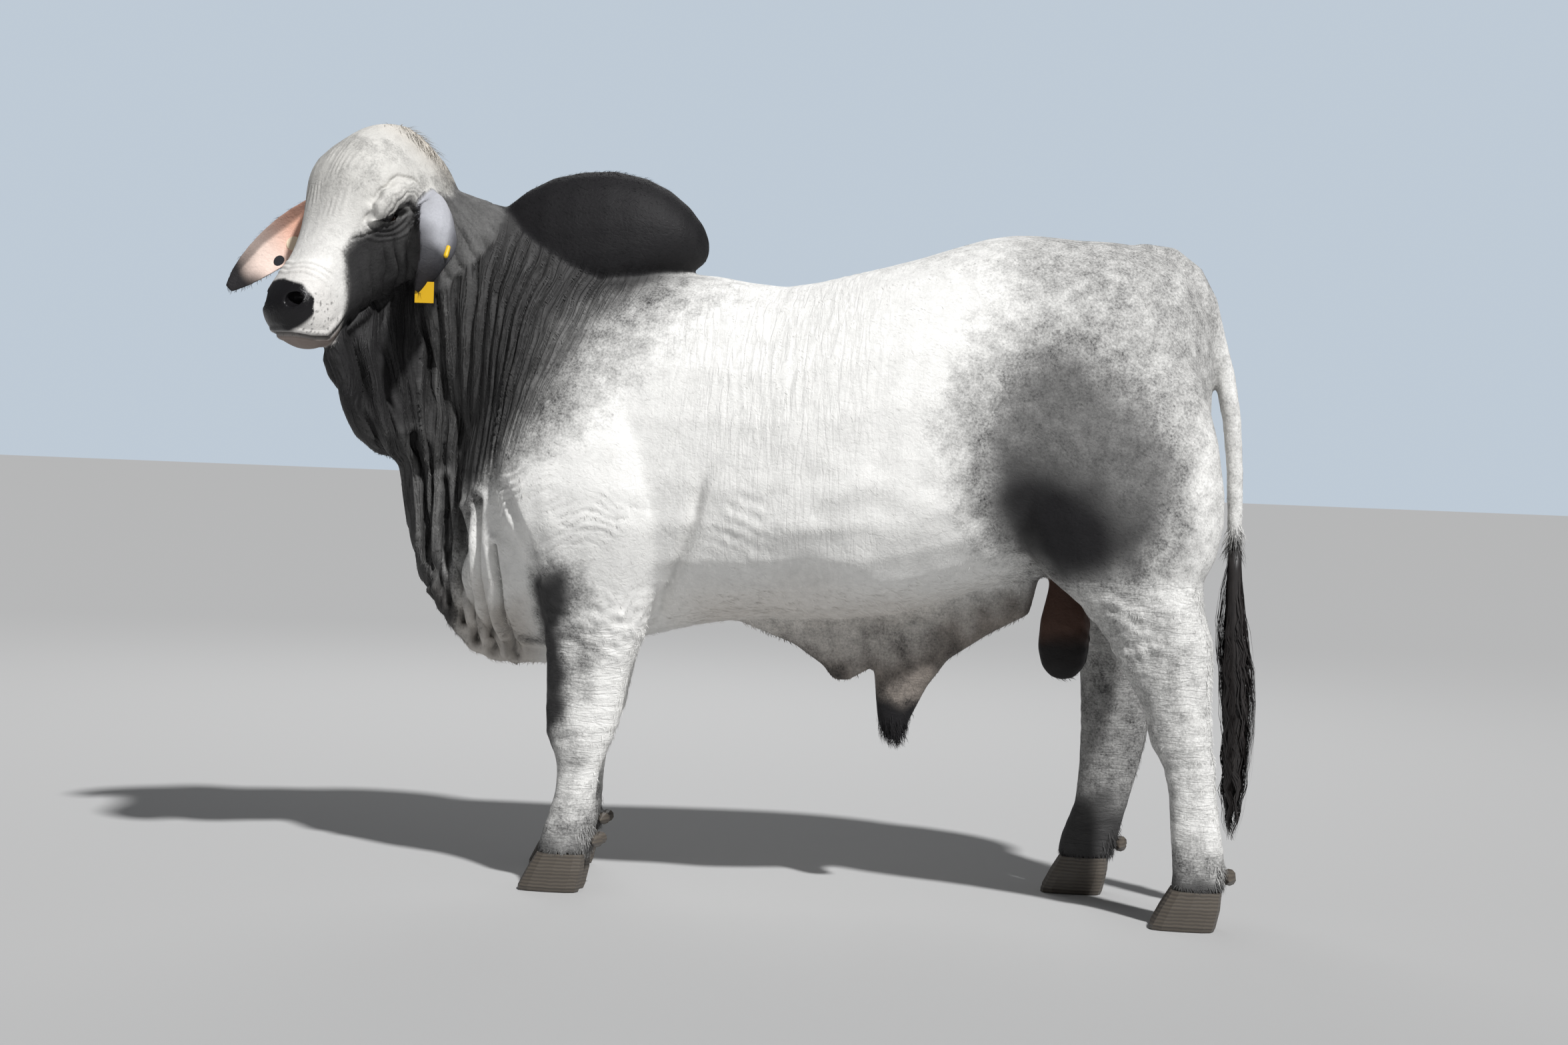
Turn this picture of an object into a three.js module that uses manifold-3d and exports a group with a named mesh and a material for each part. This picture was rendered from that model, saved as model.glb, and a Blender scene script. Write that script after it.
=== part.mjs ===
// Life-size still model of a grey Brahman bull, standing with its head turned to its left.
// Millimetres, +Z up. The bull faces -X, its left side is -Y, and its soles stand on Z = 0.
import * as THREE from "three";
import { mergeVertices } from "three/addons/utils/BufferGeometryUtils.js";
import Module from "manifold-3d";

const wasm = await Module();
wasm.setup();

// Driving sizes
const HIP_HEIGHT = 1492;
const GAP = 0.35; // between neighbouring nodes
const FRONT_TRACK = 172; // from the midline to the middle of a forefoot
const HIND_TRACK = 200;
const CORONET_Z = 86; // where skin ends and horn begins
const FORE_CUT_Z = 600;
const KNEE_CUT_Z = 402;
const THIGH_CUT_Z = 752;
const HOCK_CUT_Z = 476;
const SWITCH_TOP_Z = 742;
const POLL = [-1016, -150, 1702]; // top of the head on its midline
const HEAD_YAW = 52; // degrees that the head is turned to the left
const HEAD_PITCH = 50; // and that its long axis points below the horizontal
const NECK_CUT = { top: [-786, 1530], low: [-872, 900] };
const EYE = { radius: 22, along: 238, side: 100, up: -62, slant: -30 }; // in the frame of the head

const rad = THREE.MathUtils.degToRad;
const hide = new THREE.MeshStandardMaterial({ color: 0xd9d7d4, roughness: 0.75, metalness: 0 });
const darkHide = new THREE.MeshStandardMaterial({ color: 0x3b3a3d, roughness: 0.75, metalness: 0 });
const horn = new THREE.MeshStandardMaterial({ color: 0x55504b, roughness: 0.5, metalness: 0 });
const hair = new THREE.MeshStandardMaterial({ color: 0x17171a, roughness: 0.6, metalness: 0 });
const eyeball = new THREE.MeshStandardMaterial({ color: 0x120d0b, roughness: 0.1, metalness: 0 });
const yellowPlastic = new THREE.MeshStandardMaterial({ color: 0xe0b61e, roughness: 0.45, metalness: 0 });
const darkPlastic = new THREE.MeshStandardMaterial({ color: 0x303033, roughness: 0.45, metalness: 0 });
const creamPlastic = new THREE.MeshStandardMaterial({ color: 0xd8cfa0, roughness: 0.45, metalness: 0 });

// Lofts

// Rows of numbers, with smooth rows put in between them.
function smoothRows(rows, steps) {
  const out = [];
  const row = (i) => rows[Math.max(0, Math.min(rows.length - 1, i))];
  for (let i = 0; i < rows.length - 1; i++) {
    for (let k = 0; k < steps; k++) {
      const t = k / steps;
      out.push(
        row(i).map((b, j) => {
          const a = row(i - 1)[j];
          const c = row(i + 1)[j];
          const d = row(i + 2)[j];
          const curve = (2 * a - 5 * b + 4 * c - d) * t ** 2 + (3 * b - a - 3 * c + d) * t ** 3;
          return b + ((c - a) * t + curve) / 2;
        }),
      );
    }
  }
  out.push(rows.at(-1));
  return out;
}

// A closed surface through rings of equal length, with a fan at either end.
function skinOver(rings) {
  const count = rings[0].length;
  const points = rings.flat();
  const faces = [];
  for (let r = 0; r < rings.length - 1; r++) {
    for (let i = 0; i < count; i++) {
      const a = r * count + i;
      const b = r * count + ((i + 1) % count);
      faces.push(a, b, b + count, a, b + count, a + count);
    }
  }
  const middle = (ring) => ring.reduce((sum, p) => sum.add(p), new THREE.Vector3()).divideScalar(count);
  const last = (rings.length - 1) * count;
  points.push(middle(rings[0]), middle(rings.at(-1)));
  for (let i = 0; i < count; i++) {
    const next = (i + 1) % count;
    faces.push(points.length - 2, next, i);
    faces.push(points.length - 1, last + i, last + next);
  }
  const geometry = new THREE.BufferGeometry().setFromPoints(points);
  geometry.setIndex(faces);
  if (volumeOf(geometry) < 0) {
    for (let i = 0; i < faces.length; i += 3) [faces[i + 1], faces[i + 2]] = [faces[i + 2], faces[i + 1]];
    geometry.setIndex(faces);
  }
  return geometry;
}

function volumeOf(geometry) {
  const p = geometry.attributes.position;
  const index = geometry.index.array;
  const [a, b, c] = [new THREE.Vector3(), new THREE.Vector3(), new THREE.Vector3()];
  let sum = 0;
  for (let i = 0; i < index.length; i += 3) {
    a.fromBufferAttribute(p, index[i]);
    b.fromBufferAttribute(p, index[i + 1]);
    c.fromBufferAttribute(p, index[i + 2]);
    sum += a.dot(b.cross(c));
  }
  return sum / 6;
}

// An egg-shaped ring: half width w, up and down from its widest level, squarer as n grows.
function eggRing(at, side, up, w, rise, drop, sides, n = 2.2) {
  const ring = [];
  for (let i = 0; i < sides; i++) {
    const angle = (2 * Math.PI * i) / sides;
    const [c, s] = [Math.cos(angle), Math.sin(angle)];
    const across = Math.sign(c) * Math.abs(c) ** (2 / n) * w;
    const along = Math.sign(s) * Math.abs(s) ** (2 / n) * (s > 0 ? rise : drop);
    ring.push(at.clone().addScaledVector(side, across).addScaledVector(up, along));
  }
  return ring;
}

const X = new THREE.Vector3(1, 0, 0);
const Y = new THREE.Vector3(0, 1, 0);
const Z = new THREE.Vector3(0, 0, 1);

// Upright rings along the body. A row is x, top, bottom, half width, height of the widest level, squareness.
function bodyLoft(rows, steps, sides, y = 0) {
  return skinOver(
    smoothRows(rows, steps).map(([x, top, bottom, w, widest, n]) =>
      eggRing(new THREE.Vector3(x, y, widest), Y, Z, w, top - widest, widest - bottom, sides, n),
    ),
  );
}

// Level rings down a limb. A row is z, front x, rear x, y of the middle, half width.
function limbLoft(rows, steps, sides, n = 2.3) {
  return skinOver(
    smoothRows(rows, steps).map(([z, front, rear, y, w]) =>
      eggRing(
        new THREE.Vector3((front + rear) / 2, y, z),
        Y,
        X,
        w,
        (rear - front) / 2,
        (rear - front) / 2,
        sides,
        n,
      ),
    ),
  );
}

// The same form on the other side of the midline.
function mirrored(geometry) {
  const copy = geometry.clone();
  const p = copy.attributes.position;
  for (let i = 0; i < p.count; i++) p.setY(i, -p.getY(i));
  const index = Array.from(copy.index.array);
  for (let i = 0; i < index.length; i += 3) [index[i + 1], index[i + 2]] = [index[i + 2], index[i + 1]];
  return copy.setIndex(index);
}

// Solids

function solid(geometry) {
  const bare = new THREE.BufferGeometry().setAttribute("position", geometry.attributes.position);
  if (geometry.index) bare.setIndex(geometry.index);
  const merged = mergeVertices(bare, 1e-3);
  const triVerts = [];
  const index = merged.index.array;
  for (let i = 0; i < index.length; i += 3) {
    const [a, b, c] = [index[i], index[i + 1], index[i + 2]];
    if (a !== b && b !== c && a !== c) triVerts.push(a, b, c);
  }
  return new wasm.Manifold(
    new wasm.Mesh({
      numProp: 3,
      vertProperties: new Float32Array(merged.attributes.position.array),
      triVerts: new Uint32Array(triVerts),
    }),
  );
}

// The form grown outwards by the gap, for cutting the pieces that meet it.
function swollen(geometry, by = GAP) {
  const bare = new THREE.BufferGeometry().setAttribute("position", geometry.attributes.position.clone());
  bare.setIndex(geometry.index ?? [...Array(geometry.attributes.position.count).keys()]);
  const merged = mergeVertices(bare, 1e-3);
  merged.computeVertexNormals();
  const p = merged.attributes.position;
  const n = merged.attributes.normal;
  for (let i = 0; i < p.count; i++) {
    const [x, y, z] = [n.getX(i), n.getY(i), n.getZ(i)].map((part) => part * by);
    p.setXYZ(i, p.getX(i) + x, p.getY(i) + y, p.getZ(i) + z);
  }
  merged.deleteAttribute("normal");
  return solid(merged);
}

const join = (parts) => parts.reduce((a, b) => a.add(b));

// A large box, for keeping what lies inside it: middle, sizes, and a turn about Y in radians.
function slab(middle, size, turn = 0) {
  return solid(new THREE.BoxGeometry(...size).rotateY(turn).translate(...middle));
}
const FAR = 3000;
const above = (z) => slab([0, 0, z + FAR / 2], [FAR * 2, FAR, FAR]);
const below = (z) => slab([0, 0, z - FAR / 2], [FAR * 2, FAR, FAR]);
const between = (low, high) => slab([0, 0, (low + high) / 2], [FAR * 2, FAR, high - low]);

function largest(s) {
  return s.decompose().sort((a, b) => b.volume() - a.volume())[0];
}

const bull = new THREE.Group();
function node(name, s, material) {
  const made = largest(s).getMesh();
  const geometry = new THREE.BufferGeometry();
  geometry.setAttribute("position", new THREE.BufferAttribute(new Float32Array(made.vertProperties), 3));
  geometry.setIndex(new THREE.BufferAttribute(new Uint32Array(made.triVerts), 1));
  geometry.computeVertexNormals();
  const mesh = new THREE.Mesh(geometry, material);
  mesh.name = name;
  bull.add(mesh);
  return mesh;
}

// Torso: barrel, loin and rump

const BACK_LOW = HIP_HEIGHT - 124; // the dip behind the hump
const torsoForm = bodyLoft(
  [
    [-868, 960, 700, 60, 830, 2],
    [-850, 1060, 625, 120, 835, 2.1],
    [-800, 1200, 560, 180, 850, 2.2],
    [-720, 1330, 525, 232, 880, 2.2],
    [-600, 1400, 525, 272, 900, 2.2],
    [-450, 1395, 560, 292, 930, 2.2],
    [-300, BACK_LOW + 16, 598, 312, 930, 2.2],
    [-150, BACK_LOW - 2, 615, 330, 925, 2.25],
    [0, BACK_LOW + 30, 622, 338, 930, 2.3],
    [150, BACK_LOW + 70, 645, 335, 950, 2.3],
    [300, HIP_HEIGHT - 6, 694, 312, 985, 2.3],
    [400, HIP_HEIGHT + 4, 722, 292, 1040, 2.4],
    [500, HIP_HEIGHT - 4, 742, 282, 1080, 2.4],
    [600, HIP_HEIGHT - 8, 765, 262, 1080, 2.3],
    [700, HIP_HEIGHT - 34, 800, 222, 1080, 2.2],
    [770, HIP_HEIGHT - 100, 850, 160, 1080, 2.1],
    [808, HIP_HEIGHT - 205, 920, 80, 1070, 2],
  ],
  2,
  24,
);

// Legs

// z, front x, rear x, y of the middle, half width of the left foreleg, from the shoulder down
const FORELEG = [
  [1290, -600, -470, -120, 40],
  [1220, -660, -420, -158, 66],
  [1120, -715, -375, -184, 92],
  [1000, -752, -338, -197, 112],
  [900, -760, -322, -203, 120],
  [820, -742, -325, -203, 116],
  [755, -702, -350, -198, 104],
  [685, -662, -384, -190, 92],
  [620, -647, -402, -183, 81],
  [560, -641, -424, -178, 72],
  [500, -637, -446, -174, 64],
  [440, -636, -458, -172, 59],
  [385, -636, -468, -172, 57],
  [345, -632, -482, -172, 56],
  [305, -613, -497, -172, 48],
  [270, -606, -510, -172, 40],
  [220, -609, -516, -172, 38],
  [180, -619, -518, -172, 43],
  [140, -632, -520, -172, 52],
  [110, -640, -520, -172, 54],
  [CORONET_Z, -645, -524, -172, 57],
];
// the same of the left hind leg, from the hip down
const HINDLEG = [
  [1300, 470, 700, -120, 60],
  [1180, 400, 790, -158, 96],
  [1050, 368, 828, -174, 118],
  [940, 362, 846, -180, 124],
  [870, 376, 847, -184, 120],
  [800, 418, 832, -188, 108],
  [745, 468, 806, -190, 97],
  [680, 545, 812, -193, 86],
  [620, 604, 833, -196, 76],
  [560, 634, 836, -199, 67],
  [500, 671, 833, -200, 59],
  [450, 694, 836, -200, 54],
  [400, 704, 840, -200, 50],
  [350, 734, 847, -200, 43],
  [290, 749, 853, -200, 40],
  [210, 755, 865, -200, 42],
  [155, 760, 875, -200, 50],
  [120, 764, 878, -200, 54],
  [CORONET_Z, 762, 872, -200, 57],
];

// The right foreleg stands a little ahead of the left, and the right hind leg a full step ahead.
const FORE_STEP = -54;
const FORELEG_RIGHT = FORELEG.map(([z, front, rear, y, w]) => {
  const step = FORE_STEP * (1 - THREE.MathUtils.smoothstep(z, 900, 1200));
  return [z, front + step, rear + step, y, w];
});
const HINDLEG_RIGHT = [
  [1300, 470, 700, -120, 60],
  [1180, 400, 790, -158, 96],
  [1050, 368, 826, -174, 118],
  [940, 356, 838, -180, 124],
  [870, 360, 828, -184, 120],
  [800, 390, 800, -188, 108],
  [745, 430, 768, -190, 97],
  [680, 486, 744, -193, 86],
  [620, 512, 735, -196, 76],
  [560, 527, 726, -199, 67],
  [500, 534, 713, -200, 60],
  [450, 537, 706, -200, 56],
  [400, 540, 699, -200, 53],
  [350, 541, 691, -200, 49],
  [290, 540, 677, -200, 46],
  [210, 534, 656, -200, 45],
  [155, 514, 642, -200, 52],
  [120, 503, 634, -200, 55],
  [CORONET_Z, 499, 625, -200, 58],
];
const legRows = {
  foreleg_left: FORELEG,
  foreleg_right: FORELEG_RIGHT,
  hindleg_left: HINDLEG,
  hindleg_right: HINDLEG_RIGHT,
};
const legForms = {};
for (const [name, rows] of Object.entries(legRows)) {
  const form = limbLoft(rows, 1, 18);
  legForms[name] = name.endsWith("left") ? form : mirrored(form);
}
const cutOf = (name) => (name.startsWith("fore") ? [FORE_CUT_Z, KNEE_CUT_Z] : [THIGH_CUT_Z, HOCK_CUT_Z]);

// Neck

// x, y, yaw, top, bottom, half width, widest level
const neckForm = skinOver(
  smoothRows(
    [
      [-540, 0, 0, 1400, 720, 230, 1040],
      [-640, 0, 0, 1452, 740, 238, 1080],
      [-740, 0, 4, 1500, 800, 212, 1130],
      [-810, -6, 12, 1530, 890, 178, 1190],
      [-868, -24, 24, 1548, 985, 148, 1260],
      [-912, -54, 38, 1562, 1090, 126, 1330],
      [-948, -86, 48, 1578, 1180, 104, 1400],
      [-985, -128, 52, 1590, 1250, 84, 1440],
    ],
    2,
  ).map(([x, y, yaw, top, bottom, w, widest]) => {
    const side = new THREE.Vector3(Math.sin(rad(yaw)), -Math.cos(rad(yaw)), 0);
    return eggRing(new THREE.Vector3(x, y, widest), side, Z, w, top - widest, widest - bottom, 26, 2.1);
  }),
);

// Hump: x, top, bottom, half width, widest level
const humpForm = bodyLoft(
  [
    [-830, 1520, 1480, 22, 1500, 2],
    [-800, 1530, 1400, 62, 1450, 2],
    [-750, 1568, 1330, 96, 1420, 2.1],
    [-690, 1598, 1300, 118, 1410, 2.2],
    [-620, 1613, 1300, 128, 1415, 2.2],
    [-550, 1616, 1310, 130, 1425, 2.2],
    [-480, 1602, 1330, 124, 1440, 2.2],
    [-425, 1576, 1360, 110, 1455, 2.2],
    [-380, 1540, 1385, 88, 1460, 2.1],
    [-348, 1500, 1405, 60, 1455, 2],
    [-334, 1468, 1425, 26, 1446, 2],
  ],
  1,
  22,
);

// Head, in its own frame: along from the poll to the nose, across to its left, and up off the face
const facing = new THREE.Vector3(-Math.cos(rad(HEAD_YAW)), -Math.sin(rad(HEAD_YAW)), 0);
const LEFT = new THREE.Vector3().crossVectors(Z, facing);
const ALONG = facing
  .clone()
  .multiplyScalar(Math.cos(rad(HEAD_PITCH)))
  .addScaledVector(Z, -Math.sin(rad(HEAD_PITCH)));
const UP = new THREE.Vector3().crossVectors(ALONG, LEFT);
const headFrame = new THREE.Matrix4().makeBasis(ALONG, LEFT, UP).setPosition(...POLL);
const onHead = (along, across, up) => new THREE.Vector3(along, across, up).applyMatrix4(headFrame);

// along, top, bottom, half width, widest level, squareness
const headForm = skinOver(
  smoothRows(
    [
      [-20, -58, -98, 20, -80, 2],
      [-10, -32, -146, 30, -100, 2],
      [10, 4, -222, 42, -120, 2],
      [38, 35, -250, 62, -114, 2],
      [75, 60, -262, 88, -88, 2.05],
      [120, 74, -266, 115, -54, 2.2],
      [170, 80, -264, 127, -36, 2.5],
      [225, 70, -252, 122, -38, 2.5],
      [275, 46, -234, 108, -42, 2.4],
      [320, 25, -214, 93, -48, 2.4],
      [365, 9, -198, 83, -54, 2.4],
      [410, 1, -184, 78, -62, 2.4],
      [460, 0, -174, 80, -70, 2.4],
      [505, -6, -176, 82, -74, 2.4],
      [533, -17, -166, 74, -78, 2.3],
      [552, -33, -148, 57, -84, 2.2],
      [563, -50, -122, 34, -84, 2],
    ],
    2,
  ).map(([along, top, bottom, w, widest, n]) =>
    eggRing(onHead(along, 0, widest), LEFT, UP, w, top - widest, widest - bottom, 22, n),
  ),
);

// An egg in the frame of the head: middle, half sizes, and a turn about the axis across the head.
function headEgg(middle, half, turn = 0, sides = 14) {
  const egg = new THREE.SphereGeometry(1, sides, Math.ceil(sides * 0.6));
  egg.scale(...half).rotateY(rad(turn)).translate(...middle);
  return egg.applyMatrix4(headFrame);
}
// A block in the frame of the head, from one corner to the other.
function headBlock(low, high) {
  const box = new THREE.BoxGeometry(...high.map((h, i) => h - low[i]));
  return solid(box.translate(...high.map((h, i) => (h + low[i]) / 2)).applyMatrix4(headFrame));
}
const sideNames = { 1: "left", [-1]: "right" };

// Dewlap, in level slices: z, then the rear end, the bend and the front end in plan, then half thickness
const DEWLAP = [
  [1345, -870, 0, -945, -60, -1030, -160, 26],
  [1275, -870, 0, -965, -60, -1098, -245, 32],
  [1200, -860, 0, -980, -50, -1136, -318, 36],
  [1130, -850, 0, -985, -40, -1128, -290, 38],
  [1060, -840, 0, -985, -30, -1100, -240, 44],
  [1000, -830, 0, -985, -20, -1080, -180, 48],
  [960, -820, 0, -960, -8, -1046, -90, 46],
  [930, -810, 0, -930, 0, -1024, -30, 44],
  [860, -800, 0, -900, 0, -1016, -10, 50],
  [760, -780, 0, -890, 0, -1000, 0, 56],
  [690, -740, 0, -860, 0, -978, 0, 58],
  [620, -700, 0, -800, 0, -942, 0, 60],
  [560, -650, 0, -760, 0, -900, 0, 58],
  [515, -620, 0, -720, 0, -850, 0, 48],
  [490, -640, 0, -710, 0, -780, 0, 24],
];
const PLEATS = { count: 4.5, depth: 15 };
function dewlapSlice([z, rx, ry, bx, by, fx, fy, thick], sides) {
  const run = new THREE.QuadraticBezierCurve(
    new THREE.Vector2(rx, ry),
    new THREE.Vector2(bx, by),
    new THREE.Vector2(fx, fy),
  );
  const ring = [];
  for (let i = 0; i < sides; i++) {
    const angle = (2 * Math.PI * i) / sides;
    const along = (1 - Math.cos(angle)) / 2;
    const out = Math.sign(Math.sin(angle)) * Math.abs(Math.sin(angle)) ** 0.55;
    const at = run.getPoint(along);
    const lie = run.getTangent(along);
    const wave = Math.sin(along * PLEATS.count * 2 * Math.PI + z / 140) * PLEATS.depth * along;
    const across = thick * out + wave;
    ring.push(new THREE.Vector3(at.x + lie.y * across, at.y - lie.x * across, z));
  }
  return ring;
}
const dewlapForm = skinOver(smoothRows(DEWLAP, 2).map((row) => dewlapSlice(row, 26)));

// Trunk nodes

const legTops = Object.entries(legForms).map(([name, form]) => [
  solid(form).intersect(above(cutOf(name)[0] + GAP / 2)),
  swollen(form).intersect(above(cutOf(name)[0])),
]);
const [headSolid, neckSolid, torsoSolid] = [headForm, neckForm, torsoForm].map(solid);
const trunk = join([torsoSolid, neckSolid, headSolid, ...legTops.map(([s]) => s)]);
const trunkSwollen = join([
  swollen(torsoForm),
  swollen(neckForm),
  swollen(headForm),
  ...legTops.map(([, s]) => s),
]);

const neckLean = Math.atan2(NECK_CUT.low[0] - NECK_CUT.top[0], NECK_CUT.top[1] - NECK_CUT.low[1]);
function neckSide(front) {
  const out = new THREE.Vector3(-Math.cos(neckLean), 0, -Math.sin(neckLean)).multiplyScalar(front ? 1 : -1);
  const middle = new THREE.Vector3(NECK_CUT.top[0], 0, NECK_CUT.top[1]);
  middle.addScaledVector(out, FAR / 2 + GAP / 2);
  return slab(middle.toArray(), [FAR, FAR, FAR * 2], -neckLean);
}

const frontOfNeck = trunk.intersect(neckSide(true));
const headBlockAt = (grow) => headBlock([-4 - grow, -300, -282 - grow], [900, 300, 400]);
let headNode = frontOfNeck.intersect(headBlockAt(0));
for (const side of [1, -1]) {
  const at = (along, out, up) => [EYE.along + along, side * (EYE.side + out), EYE.up + up];
  const ball = headEgg(at(0, 0, 0), [EYE.radius, EYE.radius, EYE.radius], 0, 12);
  headNode = headNode
    .add(solid(headEgg(at(0, 2, 0), [46, 22, 31], EYE.slant, 10)))
    .add(solid(headEgg(at(-24, 8, 36), [62, 28, 24], -12, 10)))
    .subtract(solid(headEgg(at(3, 32, -2), [32, 24, 8], EYE.slant, 10)))
    .subtract(swollen(ball))
    .subtract(solid(headEgg([508, side * 50, -32], [29, 20, 16], -36, 10)));
  node("eye_" + sideNames[side], solid(ball), eyeball);
}
// the line of the mouth drops from the nose pad, then runs level to its corners
const mouth = solid(headEgg([549, 0, -107], [46, 110, 4], -52, 10)).add(
  solid(headEgg([492, 0, -149], [38, 110, 4], -6, 10)),
);
node("head", headNode.subtract(mouth.subtract(swollen(headForm, -9))), hide);
node("neck", frontOfNeck.subtract(headBlockAt(GAP)), darkHide);
node("torso", trunk.intersect(neckSide(false)), hide);
node("hump", solid(humpForm).subtract(trunkSwollen), darkHide);
node("dewlap", solid(dewlapForm).subtract(trunkSwollen), darkHide);

// Legs below the trunk

for (const [name, form] of Object.entries(legForms)) {
  const [topCut, midCut] = cutOf(name);
  const whole = solid(form);
  const trimmed = whole.intersect(between(midCut + GAP / 2, topCut - GAP / 2)).subtract(swollen(torsoForm));
  node(name + "_upper", trimmed, hide);
  node(name + "_lower", whole.intersect(between(CORONET_Z, midCut - GAP / 2)), hide);
}

// Hooves: two claws and two dewclaws to a foot. Rows are z, toe, heel and half width about the claw's middle.
const CLAW = [
  [0, -98, 40, 26],
  [10, -97, 44, 28],
  [48, -78, 52, 29],
  [CORONET_Z - GAP, -56, 54, 27],
];
for (const [name, rows] of Object.entries(legRows)) {
  const leg = swollen(legForms[name]);
  const foot = name.replace("leg", "foot");
  const [, front, end] = rows.at(-1);
  const x = (front + end) / 2;
  const y = (name.startsWith("fore") ? FRONT_TRACK : HIND_TRACK) * (name.endsWith("left") ? -1 : 1);
  const rear = rows.find((row) => row[0] <= 140)[2];
  for (const half of [1, -1]) {
    const which = half * Math.sign(y) > 0 ? "outer" : "inner";
    const claw = CLAW.map(([z, toe, heel, w]) => [z, x + toe, x + heel, y + half * (w + 1.6), w]);
    node(foot + "_claw_" + which, solid(limbLoft(claw, 1, 12, 2.9)), horn);
    const dew = new THREE.ConeGeometry(15, 44, 10).rotateX(Math.PI).rotateY(rad(28));
    dew.translate(rear + 8, y + half * 24, 112);
    node(foot + "_dewclaw_" + which, solid(dew).subtract(leg), horn);
  }
}

// Sheath with its navel fold, and scrotum. Rows are z, front, rear, y, half width.
const sheathForm = limbLoft(
  [
    [700, 40, 450, 0, 70],
    [650, 55, 425, 0, 62],
    [600, 66, 335, 0, 52],
    [540, 74, 247, 0, 44],
    [475, 81, 200, 0, 38],
    [430, 86, 178, 0, 34],
    [395, 91, 162, 0, 30],
    [370, 102, 150, 0, 24],
    [356, 116, 137, 0, 12],
  ],
  1,
  16,
);
const navelForm = limbLoft(
  [
    [660, -330, 120, 0, 60],
    [605, -235, 110, 0, 44],
    [560, -110, 100, 0, 30],
    [515, -42, 78, 0, 20],
    [482, -14, 24, 0, 9],
  ],
  1,
  16,
);
node("sheath", join([solid(sheathForm), solid(navelForm)]).subtract(trunkSwollen), hide);
const lobe = (y) =>
  limbLoft(
    [
      [780, 470, 590, y * 0.6, 30],
      [700, 462, 568, y * 0.8, 36],
      [640, 449, 560, y, 42],
      [580, 446, 561, y, 46],
      [540, 456, 552, y, 40],
      [517, 476, 532, y, 24],
      [511, 494, 514, y, 8],
    ],
    1,
    14,
  );
const scrotum = join([-34, 34].map((y) => solid(lobe(y))));
node("scrotum", scrotum.subtract(trunkSwollen).subtract(swollen(sheathForm, 2)), darkHide);

// A tube along a path in the XZ plane. Rows are x, z, half width in that plane and half width across it.
function tube(rows, steps, sides, y = 0) {
  const smooth = smoothRows(rows, steps);
  return skinOver(
    smooth.map(([x, z, w, across], i) => {
      const a = smooth[Math.max(0, i - 1)];
      const b = smooth[Math.min(smooth.length - 1, i + 1)];
      const run = new THREE.Vector3(b[0] - a[0], 0, b[1] - a[1]).normalize();
      const out = new THREE.Vector3().crossVectors(run, Y);
      return eggRing(new THREE.Vector3(x, y, z), Y, out, across, w, w, sides, 2);
    }),
  );
}

// Tail: the dock, and the switch of long hair below it
const tailForm = tube(
  [
    [560, 1440, 18, 30],
    [640, 1450, 36, 46],
    [700, 1438, 42, 46],
    [745, 1405, 41, 42],
    [780, 1350, 36, 36],
    [806, 1280, 28, 28],
    [834, 1200, 23, 23],
    [854, 1100, 18, 20],
    [864, 1000, 16, 17],
    [869, 900, 15, 16],
    [872, 800, 14, 15],
    [874, SWITCH_TOP_Z - 30, 13, 14],
  ],
  1,
  14,
);
const switchCore = tube(
  [
    [873, SWITCH_TOP_Z + 66, 14, 14.5],
    [873, SWITCH_TOP_Z - 30, 22, 18],
    [875, 640, 32, 22],
    [878, 560, 37, 24],
    [883, 470, 31, 21],
    [889, 380, 20, 16],
    [890, 300, 12, 10],
    [892, 240, 4, 4],
  ],
  1,
  8,
);
// Flat, tapered locks grow out of the core all round, each lower than the last, and bend as they hang.
const LOCKS = { count: 15, first: SWITCH_TOP_Z + 20, last: 330, longest: 330, shortest: 190 };
function lockForm(i) {
  const share = i / (LOCKS.count - 1);
  const turn = i * 2.4; // golden angle, so that no two neighbours line up
  const top = THREE.MathUtils.lerp(LOCKS.first, LOCKS.last, share ** 0.85);
  const long = THREE.MathUtils.lerp(LOCKS.longest, LOCKS.shortest, share) * (1 + 0.1 * Math.sin(i * 4.1));
  const spread = 38 + 9 * Math.sin(i * 2.9) - 20 * share;
  const middle = THREE.MathUtils.lerp(872, 888, share);
  const rings = [0, 0.25, 0.6, 1].map((t) => {
    const reach = 7 + spread * Math.sin(Math.PI * Math.min(1, t * 0.95 + 0.05)) ** 0.8;
    const angle = turn + 0.55 * Math.sin(t * 4 + i);
    const out = new THREE.Vector3(Math.cos(angle), Math.sin(angle) * 0.8, 0);
    const side = new THREE.Vector3(-Math.sin(angle), Math.cos(angle), 0);
    const at = new THREE.Vector3(middle + 8 * t, 0, top - long * t).addScaledVector(out, reach);
    const wide = 21 * (1 - t) ** 0.6 + 1.2;
    return eggRing(at, side, out, wide, 4.5 * (1 - t) + 1, 4.5 * (1 - t) + 1, 4, 2);
  });
  return skinOver(rings);
}
const locks = Array.from({ length: LOCKS.count }, (_, i) => solid(lockForm(i)));
const switchSolid = join([solid(switchCore), ...locks]);
const dock = solid(tailForm).subtract(trunkSwollen);
node("tail_dock", dock.intersect(above(SWITCH_TOP_Z + 70)), hide);
const belowDock = below(SWITCH_TOP_Z + 70 - GAP);
node("tail_switch", switchSolid.add(solid(tailForm)).intersect(belowDock), hair);

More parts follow.
